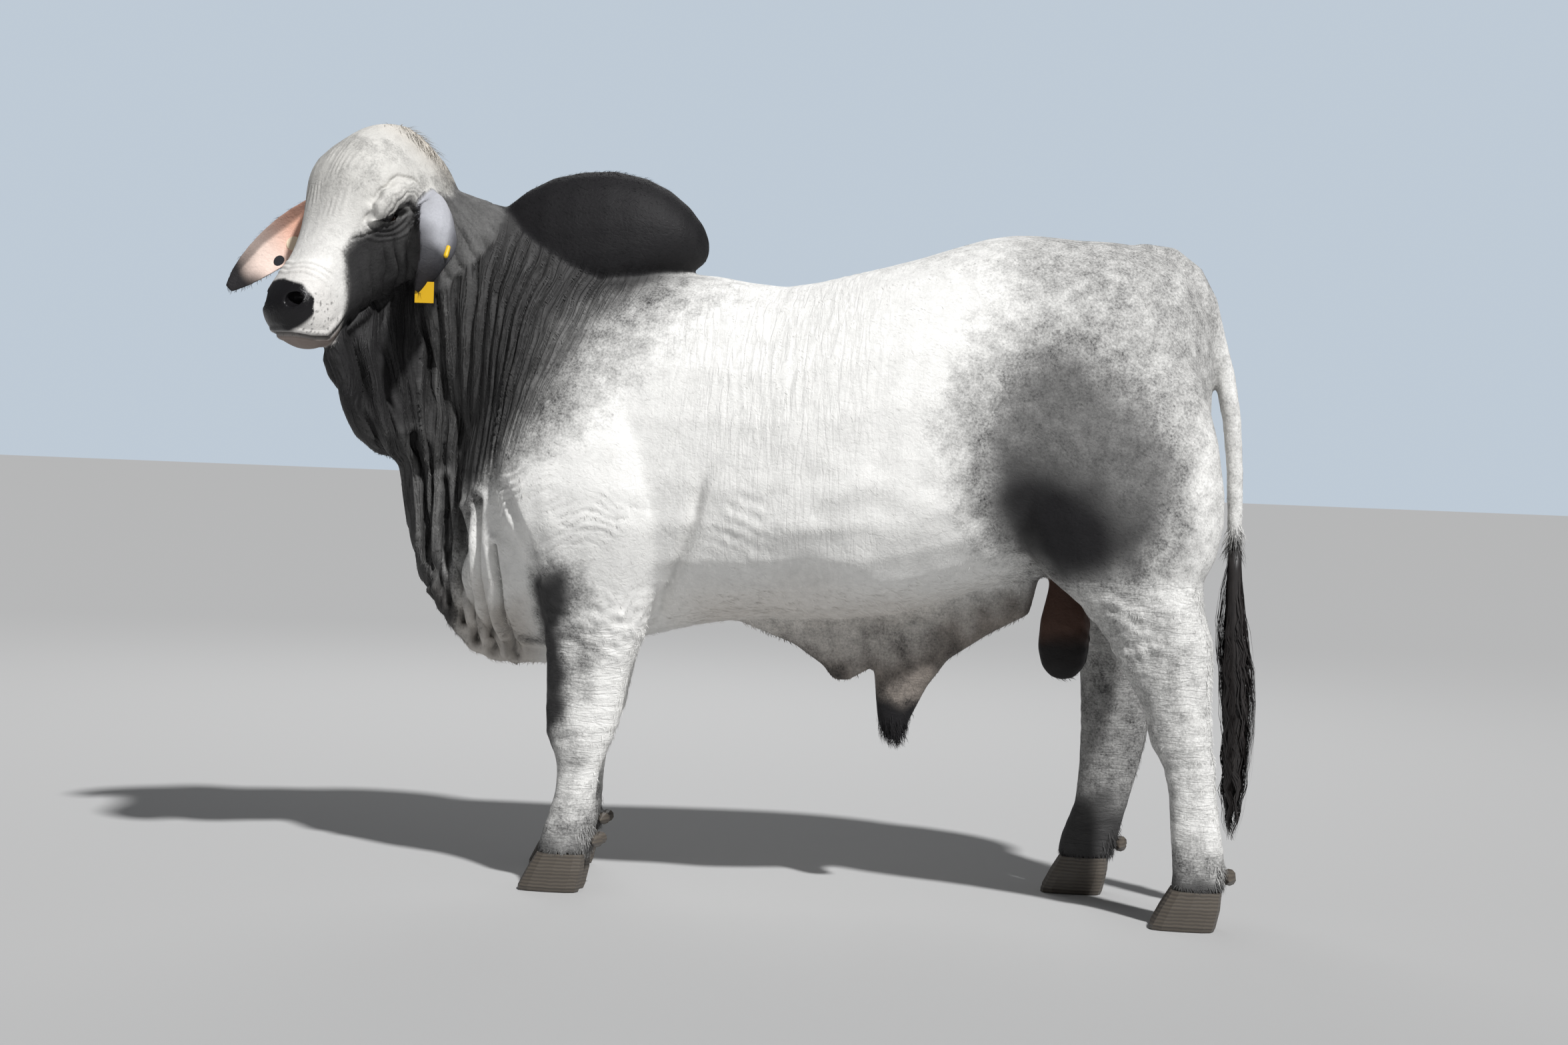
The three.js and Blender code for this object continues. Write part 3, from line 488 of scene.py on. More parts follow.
# thigh
wide = np.hypot((x - 0.51) / 0.25, (z - 0.985 + 0.30 * (x - 0.51)) / 0.30) + 0.10 * cloud + 0.05 * dapple
darken(0.60, 0.8 * bump_at(x, 0.66, 0.22) * ease(z, 0.70, 0.80) * ease(1.20 - z, 0, 0.15))
darken(0.84, ease(1.30 - wide, 0, 0.75))
core = np.hypot((x - 0.51) / 0.155, (z - 0.865 + 0.50 * (x - 0.51)) / 0.125) + 0.16 * cloud + 0.07 * dapple
darken(1.0, ease(1.62 - core, 0, 1.15))
darken(0.42, ease(0.74 - z + 0.02 * dapple, 0, 0.07) * ease(x, 0.30, 0.38))
darken(0.22, ease(x - 0.74 - 0.10 * ease(z, 0.9, 1.2) + 0.015 * dapple, 0, 0.05) * ease(1.35 - z, 0, 0.1))
# neck, shoulder and hump
fade = np.interp(z, [0.52, 0.7, 0.84, 0.95, 1.1, 1.3, 1.42], [0.04, 0.045, 0.07, 0.12, 0.20, 0.22, 0.12])
ahead = (grey_edge - x + 0.020 * cloud + 0.014 * dapple) / fade
darken(0.955 - 0.04 * ease(-x, 0.75, 0.95), ease(ahead, -1.3, 0.7))
darken(0.985, is_neck * ease(z, 1.34, 1.46) * ease(ahead, 0, 1))
darken(1.0, is_hump * ease(z + 0.012 * dapple, 1.30, 1.40))
tint("#242326", 0.75 * ease(-x + 0.03 * cloud, 0.84, 1.0) * ease(ahead, 0.3, 1.0) * ease(z, 0.9, 1.1))
# painted shade: the white brisket darkened towards its bottom
tint("#b9b2aa", 0.8 * ease(0.72 - z + 0.02 * dapple, 0, 0.14) * ease(-x, 0.64, 0.72))
# forelegs: dark down the front edge, hind legs: grey shanks, the far one painted darker as shade, and dark
# pasterns all round
FAR_AHEAD = -0.054  # m, the far foreleg's place before the near one
front = np.interp(z, [0.08, 0.2, 0.3, 0.5, 0.7], [-0.64, -0.615, -0.62, -0.638, -0.66])
front = front + np.where(y > 0, FAR_AHEAD, 0.0)
reach = np.interp(z, [0.27, 0.45, 0.6, 0.72, 0.80], [0.105, 0.13, 0.165, 0.18, 0.15])
strip = ease(reach - (x - front) + 0.03 * dapple, 0, 0.13) * ease(z, 0.22, 0.33)
strip *= ease(0.80 - z + 0.02 * dapple, 0, 0.13)
strip *= 1 - ease(z, 0.52, 0.58) * (1 - ease(x - front, -0.030, 0.004))
darken(0.97, strip * ease(np.abs(y), 0.06, 0.10) * ease(-x, 0.30, 0.36))
darken(0.55, 0.7 * is_fore * ease(0.27 - z + 0.02 * dapple, 0, 0.08))
darken(0.72, 0.9 * ease(0.20 - z + 0.02 * dapple, 0, 0.05))
darken(0.96, 0.85 * ease(0.135 - z + 0.015 * dapple, 0, 0.05) * (1 - 0.3 * is_fore))
# painted shade: the far hind leg is darkened, and made nearly black low down
darken(0.76, 0.9 * is_leg * (1 - is_fore) * ease(y, 0.02, 0.1) * ease(0.66 - z, 0, 0.2))
darken(0.98, 0.9 * is_leg * (1 - is_fore) * ease(y, 0.02, 0.1) * ease(0.27 - z + 0.02 * dapple, 0, 0.10))
# sheath and scrotum
is_sheath = share_of("sheath", rounds=6)
is_sac = share_of("scrotum", rounds=2)
# the sheath darkens downwards to a black tip: partly its own colour, partly painted shade under the belly
darken(0.30 + 0.45 * ease(dapple + cloud, -0.5, 1.0) * ease(0.64 - z, 0, 0.1), is_sheath)
tint("#8f857c", 0.9 * is_sheath * ease(0.60 - z + 0.5 * ease(x, 0.1, 0.4) * 0.3 + 0.02 * dapple, 0, 0.12))
darken(1.0, is_sheath * ease(0.470 - z + 0.012 * dapple, 0, 0.04))
darken(0.0, is_sac)
tint("#4a342b", is_sac)
tint("#131112", 0.98 * is_sac * ease(0.63 - z + 0.01 * dapple, 0, 0.05))
# tail
is_dock = is_tail * ease(x, 0.80, 0.84)
darken(0.22, is_dock)
darken(1.0, is_dock * ease(0.885 - z + 0.008 * dapple, 0, 0.085))

# head: a cream face, and a charcoal cheek behind a line from the eye to the corner of the mouth
face = is_head * (1 - is_ear)
CHEEK = np.array([
    (-0.02, -0.20), (0.06, -0.17), (0.11, -0.12), (0.139, -0.088), (0.187, -0.076),
    (0.222, -0.062), (0.255, -0.052), (0.284, -0.042), (0.324, -0.031), (0.365, -0.045),
    (0.398, -0.086), (0.435, -0.124), (0.470, -0.152), (0.518, -0.178), (0.56, -0.20),
])
cheek = np.interp(along, *CHEEK.T)
pale = ease(up - cheek + 0.006 * dapple, -0.024, 0.016)
darken(0.05, face * pale)
tint("#d6d4cf", face * pale)
tint("#cbbfae", 0.5 * face * pale * ease(0.10 - along, 0, 0.12))
tint("#efede9", face * pale * ease(along, 0.22, 0.38))
# painted shade on the throat, below the ear and behind the jaw
painted_throat_shade = face * pale * ease(-up - 0.15 * along + 0.01 * dapple, 0.07, 0.15)
darken(0.62, painted_throat_shade * ease(0.12 - along, 0, 0.06))
darken(0.885, face * (1 - pale))
darken(0.26, face * bump_at(along, 0.13, 0.17) * pale * ease(ripple(head, 0.05, 36), -0.5, 1.0))
darken(0.30, pale * near_eye * ease(under_hood, 0.010, 0.030) * above_slit * 0.8)
# painted shadow under the hood, just above the back of the slit
darken(0.97, near_eye * above_slit * ease(under_hood, 0.034, 0.050) * ease(0.012 - eye_run, -0.01, 0.03))
nape = ease(-0.02 - along, -0.05, 0.02) * ease(up, -0.19, -0.12) * ease(along, -0.11, -0.05)
nape *= is_neck + is_head > 0.5
darken(0.15, 0.9 * nape)
tint("#d8cfc3", 0.8 * nape)
# muzzle: white speckled lips and chin, black nose pad
muzzle = face * ease(along + 0.25 * (up + 0.1), 0.435, 0.475)
tint("#e6e3df", muzzle * pale)
darken(0.80, 0.8 * muzzle * pale * ease(ripple(head, 0.0055, 37), 0.7, 1.1) * ease(-up, 0.03, 0.07))
PAD = [-0.090, -0.070, -0.051, -0.024, -0.017, 0.02], [0.545, 0.510, 0.487, 0.480, 0.477, 0.474]
pad_edge = np.interp(up, *PAD)
pad = face * ease(along - pad_edge + 0.002 * speck, -0.003, 0.004) * ease(up, -0.082, -0.070)
tint("#1b1a1c", pad)
darken(0.0, pad)
chin = muzzle * ease(-lip_line, 0.002, 0.010) * (1 - pad)
darken(0.02, chin)
tint("#8d817a", chin)
lip = muzzle * bump_at(lip_line, 0, 0.011) * (1 - pad)
tint("#2f2a28", 0.85 * lip)
# eyelids: black skin, with painted shade in the hollow round them, spread up and back towards the hood
from_slit = np.hypot((eye_run + 0.006) / 0.056, (eye_rise - 0.004) / 0.023)
lids = face * near_eye * ease(1.0 - from_slit, 0, 0.45)
tint("#0f0e0f", 0.97 * lids)
darken(0.0, lids)
wet = np.clip(pad + 0.6 * lids, 0, 1)

# ears: grey outside and dark at rim and tip. The right cup is bare and pink, the left one shaded
normal = normals_of(skin_mesh)
on_rim = np.zeros(len(co))
for name, root, tip, open_way, cup_code, back_code in (
    ("ear_left", (0.130, 0.096, -0.120), (-0.914, -0.345, 1.318), (-0.75, 0.6, -0.2),
     "#4a3f40", "#b2b3b9"),
    ("ear_right", (0.118, -0.096, -0.108), (-1.406, -0.150, 1.318), (-0.25, -0.95, -0.1),
     "#f0b8a0", "#cfc9c4"),
):
    ear = share_of(name, rounds=1)
    base = POLL + ALONG * root[0] + ACROSS * root[1] + UP * root[2]
    run = np.array(tip) - base
    long = np.linalg.norm(run)
    reach = (body - base) @ (run / long) / long
    way = np.array(open_way) / np.linalg.norm(open_way)
    facing_out = normal @ way
    cup = ease(facing_out, 0.15, 0.5)
    breadth = (body - base) @ np.cross(run / long, way)
    darken(0.0, ear)
    tint(back_code, ear)
    tint("#6d6d74", 0.75 * ear * (1 - cup) * ease(np.abs(breadth + 0.012) / 0.05, 0.35, 0.95))
    tint("#29292d", 0.95 * ear * (1 - cup) * ease(reach + 0.05 * cloud + 0.06 * dapple, 0.40, 0.72))
    tint(cup_code, ear * cup)
    tint("#f6e6dc", 0.8 * ear * cup * ease(reach, 0.45, 0.75) * (name == "ear_right"))
    half_wide = np.interp(reach, [0, 0.35, 0.7, 1.0], [0.045, 0.058, 0.045, 0.01])
    rim = ease(np.abs(breadth) / half_wide, 0.78, 0.98)
    tint("#2a282a", 0.85 * ear * np.clip(ease(0.35 - np.abs(facing_out), 0, 0.25) + 0.7 * rim * cup, 0, 1))
    tint("#222022", ear * ease(reach + 0.04 * dapple, 0.74, 0.92))
    on_rim = np.maximum(on_rim, ear * ease(0.45 - np.abs(facing_out), 0, 0.25) * ease(reach, 0.05, 0.2))


# the tops of the folds are painted paler, as painted highlights on the crests
dark_hair_and_shade *= 1 - 0.07 * painted_crest_highlight * np.clip(is_neck + is_dewlap + 1.6 * face, 0, 2)


def keep(kind, name, values):
    """Stores an attribute on the skin's points."""
    field = {"FLOAT": "value", "FLOAT_COLOR": "color", "FLOAT_VECTOR": "vector"}[kind]
    made = skin_mesh.attributes.new(name, kind, "POINT")
    made.data.foreach_set(field, values.astype(np.float32).ravel())


one = np.ones(len(co))
keep("FLOAT_COLOR", "pale hair and shade", np.column_stack([pale_hair_and_shade, one]))
keep("FLOAT", "dark hair and shade", dark_hair_and_shade)
keep("FLOAT", "wet skin", wet)
keep("FLOAT", "hollow", hollow)
keep("FLOAT_VECTOR", "fold place", np.column_stack([fold_place, y * 0.3, z]))
level_creases = is_leg * (1 - ease(z, 0.72, 0.85)) + 0.5 * is_sheath
upright = np.clip(behind + 0.7 * bump_at(x, -0.1, 0.4) * is_trunk * ease(z, 0.6, 0.8), 0, 1) * (1 - on_neck)
keep("FLOAT_COLOR", "creases", np.column_stack([on_neck, np.clip(level_creases, 0, 1), upright, one]))


def add_node(tree, kind, settings=(), inputs=()):
    """Adds a shader node: settings by name, and inputs by name as values or as sockets to link from."""
    made = tree.nodes.new("ShaderNode" + kind)
    for key, value in dict(settings).items():
        setattr(made, key, value)
    for key, value in dict(inputs).items():
        if isinstance(value, bpy.types.NodeSocket):
            tree.links.new(value, made.inputs[key])
        else:
            made.inputs[key].default_value = value
    return made


def finish_with(tree, finish):
    """Ends a material in one principled surface."""
    surface = add_node(tree, "BsdfPrincipled", {}, finish)
    add_node(tree, "OutputMaterial", {}, {"Surface": surface.outputs["BSDF"]})


def new_material(name):
    made = bpy.data.materials.new(name)
    made.use_nodes = True
    made.node_tree.nodes.clear()
    return made, made.node_tree


def per_mm(size):
    """A texture scale for lumps of a size in millimetres on an object measured in metres."""
    return 1000 / size


def hair_colours(tree):
    """Charcoal hairs show through pale ones in flecks and clouds: the colour, the place, the flecks.

    Real flecks are single hairs, too fine to show here, so they are drawn 5 mm wide."""
    place = add_node(tree, "TexCoord").outputs["Object"]
    pale = add_node(tree, "Attribute", {"attribute_name": "pale hair and shade"}).outputs["Color"]
    share = add_node(tree, "Attribute", {"attribute_name": "dark hair and shade"}).outputs["Fac"]
    fine = {"Vector": place, "Scale": per_mm(5.0), "Detail": 3.0, "Roughness": 0.7}
    flecks = add_node(tree, "TexNoise", {}, fine).outputs["Fac"]
    broad = {"Vector": place, "Scale": per_mm(34), "Detail": 5.0, "Roughness": 0.65}
    clouds = add_node(tree, "TexNoise", {}, broad).outputs["Fac"]
    spread = {"Value": flecks, "From Min": 0.5, "From Max": 0.75, "To Min": 0.0, "To Max": 0.30}
    fleck = add_node(tree, "MapRange", {"clamp": False}, spread).outputs["Result"]
    spread = {"Value": clouds, "From Min": 0.5, "From Max": 0.75, "To Min": 0.0, "To Max": 0.26}
    both = add_node(tree, "MapRange", {"clamp": False}, spread).outputs["Result"]
    both = add_node(tree, "Math", {"operation": "ADD"}, {0: fleck, 1: both}).outputs[0]
    rest = add_node(tree, "Math", {"operation": "SUBTRACT"}, {0: 1.0, 1: share}).outputs[0]
    mixed = rest  # most where pale and dark hair are about equal, and little where nearly all is dark
    for factor in (share, rest, 12.0):
        by = {"operation": "MULTIPLY", "use_clamp": True}
        mixed = add_node(tree, "Math", by, {0: mixed, 1: factor}).outputs[0]
    clamped = {"operation": "MULTIPLY_ADD", "use_clamp": True}
    amount = add_node(tree, "Math", clamped, {0: both, 1: mixed, 2: share}).outputs[0]
    two = {"Factor": amount, 6: pale, 7: (*linear("#1b1a1c"), 1)}
    return add_node(tree, "Mix", {"data_type": "RGBA"}, two).outputs[2], place, flecks


# Short dense hair on loose skin looks soft and matt, with painted shade in its hollows and creases, and
# glossy only where it is wet.
hide, tree = new_material("short_haired_hide")
grey, place, flecks = hair_colours(tree)
wetness = add_node(tree, "Attribute", {"attribute_name": "wet skin"}).outputs["Fac"]
painted_hollow_shade = add_node(tree, "Attribute", {"attribute_name": "hollow"}).outputs["Fac"]
folds = add_node(tree, "Attribute", {"attribute_name": "fold place"}).outputs["Vector"]
weights = add_node(tree, "Attribute", {"attribute_name": "creases"}).outputs["Color"]
weight = add_node(tree, "SeparateColor", {}, {"Color": weights}).outputs
spread = {"Value": flecks, "From Min": 0.25, "From Max": 0.75, "To Min": 0.90, "To Max": 1.06}
shade = add_node(tree, "MapRange", {}, spread).outputs["Result"]

# creases too fine for the casting: along the neck's folds, level on the legs, upright on the ribs
ridges = []
for source, stretch, deep, mask in (
    (folds, (per_mm(17), per_mm(60), per_mm(170)), 2.6, weight["Red"]),
    (place, (per_mm(60), per_mm(60), per_mm(12)), 0.6, weight["Green"]),
    (place, (per_mm(17), per_mm(90), per_mm(110)), 0.6, weight["Blue"]),
    (place, (per_mm(24), per_mm(24), per_mm(20)), 0.25, None),
):
    spot = add_node(tree, "VectorMath", {"operation": "MULTIPLY"}, {0: source, 1: stretch}).outputs[0]
    creased = {"Vector": spot, "Scale": 1.0, "Detail": 3.0, "Roughness": 0.5, "Distortion": 0.3}
    noise = add_node(tree, "TexNoise", {}, creased).outputs["Fac"]
    noise = add_node(tree, "Math", {"operation": "SUBTRACT"}, {0: noise, 1: 0.5}).outputs[0]
    noise = add_node(tree, "Math", {"operation": "ABSOLUTE"}, {0: noise}).outputs[0]
    cut = {"Value": noise, "From Min": 0.0, "From Max": 0.11, "To Min": -deep, "To Max": 0.0}
    valley = add_node(tree, "MapRange", {"interpolation_type": "SMOOTHSTEP"}, cut).outputs["Result"]
    if mask:
        valley = add_node(tree, "Math", {"operation": "MULTIPLY"}, {0: valley, 1: mask}).outputs[0]
    ridges.append(valley)
height = ridges[0]
for more in ridges[1:]:
    height = add_node(tree, "Math", {"operation": "ADD"}, {0: height, 1: more}).outputs[0]
# painted shade: the crease valleys are darkened in the colour, down to 0.62, as well as cut into the bump
cut = {"Value": height, "From Min": -2.5, "From Max": 0.0, "To Min": 0.62, "To Max": 1.0}
hollow = add_node(tree, "MapRange", {}, cut).outputs["Result"]
shade = add_node(tree, "Math", {"operation": "MULTIPLY"}, {0: shade, 1: hollow}).outputs[0]
# painted shade: the colour falls to 0.45 of itself in the deepest hollows
painted_hollow_shade = add_node(tree, "MapRange", {}, {"Value": painted_hollow_shade, "To Min": 1.0, "To Max": 0.45}).outputs["Result"]
shade = add_node(tree, "Math", {"operation": "MULTIPLY"}, {0: shade, 1: painted_hollow_shade}).outputs[0]
colour = add_node(tree, "VectorMath", {"operation": "SCALE"}, {0: grey, "Scale": shade}).outputs["Vector"]
strand = {0: place, 1: (per_mm(7), per_mm(3), per_mm(5))}
hairs = add_node(tree, "VectorMath", {"operation": "MULTIPLY"}, strand).outputs["Vector"]
strand = {"Vector": hairs, "Scale": 1.0, "Detail": 4.0, "Roughness": 0.7}
hairs = add_node(tree, "TexNoise", {}, strand).outputs["Fac"]
height = add_node(tree, "Math", {"operation": "MULTIPLY_ADD"}, {0: hairs, 1: 0.9, 2: height}).outputs[0]
relief = add_node(tree, "Bump", {}, {"Height": height, "Strength": 1.0, "Distance": 0.001}).outputs["Normal"]
gloss = add_node(tree, "MapRange", {}, {"Value": wetness, "To Min": 0.64, "To Max": 0.24}).outputs["Result"]
finish = {"Base Color": colour, "Roughness": gloss, "IOR": 1.45, "Specular IOR Level": 0.32, "Normal": relief}
finish_with(tree, finish)
skin_mesh.materials.append(hide)
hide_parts(*FLESH)
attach(skin, "root")

# Coat: short hair laid over the skin in flat tapered blades along the lie, sleek on body and face, and
# longer on poll, crest, belly, backs of the legs, fetlocks, coronets, ear rims and the end of the sheath.

skin_mesh.calc_loop_triangles()
trios = np.empty(len(skin_mesh.loop_triangles) * 3, int)
skin_mesh.loop_triangles.foreach_get("vertices", trios)
trios = trios.reshape(-1, 3)
normal = normals_of(skin_mesh)
corner_at = [co[trios[:, k]] for k in range(3)]
patch_area = np.linalg.norm(np.cross(corner_at[1] - corner_at[0], corner_at[2] - corner_at[0]), axis=1) / 2

# the way the hair lies: to the tail and down on the trunk, down the legs and tail, down face and ears
lie = np.tile([0.75, 0.0, -0.66], (len(co), 1))
hangs = np.clip(is_leg + is_dock + is_dewlap + is_neck + is_sheath, 0, 1)
lie += (np.array([0.1, 0, -1.0]) - lie) * hangs[:, None]
lie += (ALONG - 0.25 * UP - lie) * np.clip(is_head - is_ear, 0, 1)[:, None]
lie += (np.array([0.0, 0, -1.0]) - lie) * is_ear[:, None]
lie += 0.35 * np.stack([ripple(body, 0.12, 51), ripple(body, 0.12, 52), ripple(body, 0.12, 53)], 1)


def unwrapped(points, part):
    """A flat place for points of the skin: each flesh form is rolled out round its own long axis."""
    flat = np.zeros((len(points), 2))
    for tile, name in enumerate(FLESH):
        mine = part == tile
        if not mine.any():
            continue
        spots = on_body(points[mine])
        if name == "head":
            own = on_head(spots)
        elif name in ("torso", "neck", "hump", "dewlap", "sheath", "scrotum"):
            own = spots
        else:
            own = spots[:, [2, 0, 1]]
        middle = (own.min(0) + own.max(0)) / 2
        size = np.maximum(own.max(0) - own.min(0), 0.01)
        round_it = np.arctan2(own[:, 2] - middle[2], own[:, 1] - middle[1]) / (2 * math.pi) + 0.5
        flat[mine, 0] = (tile % 5 + 0.03 + 0.94 * (own[:, 0] - own[:, 0].min()) / size[0]) / 5
        flat[mine, 1] = (tile // 5 + 0.03 + 0.94 * round_it) / 4
    return flat


PATCH = 0.0015  # half the width of a tuft's patch on the coat's map
OFF_FLOOR = 0.0015  # m


def lay_hair(name, seed, wanted, long, wide, lift):
    """Flat tapered blades rooted on the skin: how many to a square metre, their sizes and their tilt."""
    draw = np.random.default_rng(seed)
    weight = patch_area * wanted[trios].mean(1)
    count = int(weight.sum())
    pick = draw.choice(len(trios), count, p=weight / weight.sum())
    mix = draw.dirichlet((1, 1, 1), count)

    def here(values):
        return (values.reshape(len(co), -1)[trios[pick]] * mix[..., None]).sum(1)

    def made_unit(ways):
        return ways / np.maximum(np.linalg.norm(ways, axis=1), 1e-9)[:, None]

    out = made_unit(here(normal))
    way = here(lie)
    way = made_unit(way - out * (way * out).sum(1)[:, None])
    turn = draw.normal(0, 0.25, (count, 1))
    way = way * np.cos(turn) + np.cross(out, way) * np.sin(turn)
    across_it = np.cross(out, way)
    length = here(long) * draw.uniform(0.65, 1.3, (count, 1))
    half = here(wide) * draw.uniform(0.7, 1.2, (count, 1)) / 2
    steep = here(lift) * draw.uniform(0.5, 1.5, (count, 1))
    root = here(co) - out * 0.0005
    middle = root + (way * np.cos(steep) + out * np.sin(steep)) * length * 0.5
    tip = middle + (way * np.cos(0.35 * steep) + out * np.sin(0.35 * steep)) * length * 0.5
    edge, inner = across_it * half, across_it * half * 0.8
    points = np.stack([root - edge, root + edge, middle - inner, middle + inner, tip], 1).reshape(-1, 3)
    points[:, 2] = np.maximum(points[:, 2], OFF_FLOOR)
    faces = (np.array([0, 1, 3, 0, 3, 2, 2, 3, 4]) + 5 * np.arange(count)[:, None]).ravel()
    mesh = bpy.data.meshes.new(name)
    mesh.vertices.add(len(points))
    mesh.vertices.foreach_set("co", points.astype(np.float32).ravel())
    mesh.loops.add(len(faces))
    mesh.loops.foreach_set("vertex_index", faces)
    mesh.polygons.add(len(faces) // 3)
    mesh.polygons.foreach_set("loop_start", np.arange(0, len(faces), 3))
    mesh.update()
    mesh.validate()
    home = unwrapped(here(co), owner[trios[pick, 0]])
    patch = np.array([[-1, -1], [1, -1], [-0.8, 0.2], [0.8, 0.2], [0, 1]]) * PATCH
    laid = (home[:, None] + patch).reshape(-1, 2)[faces]
    mesh.uv_layers.new(name="OFBake").data.foreach_set("uv", laid.astype(np.float32).ravel())
    # painted shade: each blade darker towards its root, times a random tone for each blade
    shade = np.tile([0.0, 0.0, 0.5, 0.5, 1.0], count) * 0.22 + np.repeat(draw.uniform(0.80, 0.98, count), 5)
    colours = np.column_stack([np.repeat(here(pale_hair_and_shade), 5, 0), np.ones(5 * count)])
    for kind, key, title, values in (
        ("FLOAT_COLOR", "color", "pale hair and shade", colours),
        ("FLOAT", "value", "dark hair and shade", np.repeat(here(dark_hair_and_shade)[:, 0], 5)),
        ("FLOAT", "value", "blade shade", shade),
    ):
        mesh.attributes.new(title, kind, "POINT").data.foreach_set(key, values.astype(np.float32).ravel())
    mesh.materials.append(coat_hair)
    coat = new_object(name, mesh)
    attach(coat, "root")


# Sleek hair has a dull sheen, and each blade is painted darker at its root, as painted shade deep in the
# coat.
coat_hair, tree = new_material("sleek_coat_hair")
grey, place, flecks = hair_colours(tree)
lit = add_node(tree, "Attribute", {"attribute_name": "blade shade"}).outputs["Fac"]
colour = add_node(tree, "VectorMath", {"operation": "SCALE"}, {0: grey, "Scale": lit}).outputs["Vector"]
hair_finish = {"Base Color": colour, "Roughness": 0.62, "IOR": 1.5, "Specular IOR Level": 0.3}
finish_with(tree, hair_finish)

bare = np.clip(wet + is_sac + chin + is_ear * (is_ear > 0.3), 0, 1)
low_down = ease(0.25 - z, 0, 0.1)
short = 0.011 - 0.005 * np.clip(is_head + is_ear + low_down, 0, 1)
thin = 0.0019 - 0.0009 * np.clip(is_head + is_ear + low_down, 0, 1)
flat = 0.10 * one
on_front = ease(-0.30 - x, -0.02, 0.02) * (1 - is_head)
covered = (1 - bare) * ease(z, 0.084, 0.094)
BEHIND, BEFORE, ON_FACE = 13000, 17000, 90000  # blades to a square metre
lay_hair("coat_of_the_quarters", 61, BEHIND * covered * (1 - on_front) * (1 - is_head), short, thin, flat)
lay_hair("coat_of_the_forehand", 62, BEFORE * covered * on_front, short, thin, flat)
lay_hair("coat_of_the_face", 63, ON_FACE * covered * is_head, short, thin, flat + 0.04)

# longer hair: a tuft on the poll, wisps on crest, belly, legs, fetlocks, coronets, sheath, brisket and dock
on_poll = is_head * bump_at(along, -0.005, 0.06) * bump_at(up, -0.06, 0.12)
on_poll *= ease(0.07 - np.abs(across), 0, 0.03)
crest = is_hump * ease(normal[:, 2], 0.75, 0.95)
belly = ease(-normal[:, 2], 0.6, 0.9) * ease(z, 0.45, 0.5) * (1 - is_leg) * ease(0.82 - z, 0, 0.05)
fetlock = is_leg * ease(normal[:, 0], 0.2, 0.7) * bump_at(z, 0.125, 0.055)
back_of_leg = is_leg * ease(normal[:, 0], 0.5, 0.9) * ease(z, 0.2, 0.3) * ease(0.95 - z, 0, 0.1)
sheath_end = is_sheath * ease(0.43 - z, 0, 0.05)
pleat_edge = is_dewlap * ease(-normal[:, 0], 0.3, 0.8) * ease(0.62 - z, 0, 0.05)
dock_end = is_dock * ease(0.90 - z, 0, 0.08)
coronet = is_leg * ease(0.102 - z, 0, 0.008) * ease(z, 0.0865, 0.0885)
coronet *= ease(0.6 - np.abs(normal[:, 2]), 0, 0.2)
rough_places = on_poll + crest + belly + fetlock + back_of_leg + sheath_end + pleat_edge + dock_end
rough_places = np.clip(rough_places + coronet, 0, 1)
number = 45000 * on_poll + 9000 * crest + 9000 * belly + 40000 * fetlock + 14000 * back_of_leg
number += 60000 * sheath_end + 20000 * pleat_edge + 60000 * dock_end + 160000 * coronet
length = 0.014 + 0.020 * on_poll + 0.014 * fetlock + 0.020 * sheath_end + 0.030 * dock_end + 0.004 * belly
lay_hair("longer_hair", 64, number * rough_places, length, 0.0016 * one, 0.42 - 0.22 * coronet)

# hair fringes the rims of the ears
rim_hair = is_ear * ease(on_rim, 0.3, 0.8)
fringe = 0.010 + 0.004 * rim_hair
lay_hair("fringe_of_the_ears", 65, 150000 * rim_hair, fringe, 0.0011 * one, 0.55 * one)

# Eyes: glass balls, very dark brown, ground and polished, and set in the sockets so that the lids close
# over them and leave a slit.

# Polished glass is near black here, with one sharp highlight.
eye_glass, tree = new_material("polished dark glass eye")
finish = {"Base Color": (*linear("#1a100b"), 1), "Roughness": 0.06, "IOR": 1.5, "Coat Weight": 1.0}
finish_with(tree, finish)
for name in ("eye_left", "eye_right"):
    low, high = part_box(name)
    ball = bmesh.new()
    bmesh.ops.create_uvsphere(ball, u_segments=32, v_segments=20, radius=(high.x - low.x) / 2)
    for face in ball.faces:
        face.smooth = True
    ball_mesh = bpy.data.meshes.new(name)
    ball.to_mesh(ball_mesh)
    ball.free()
    ball_mesh.materials.append(eye_glass)
    eye = new_object(name + "_glass", ball_mesh)
    eye.location = (low + high) / 2
    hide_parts(name)
    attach(eye, "root")

# Hooves and dewclaws: grey-brown horn, cast apart from the skin and ridged across, with their edges
# rubbed round.

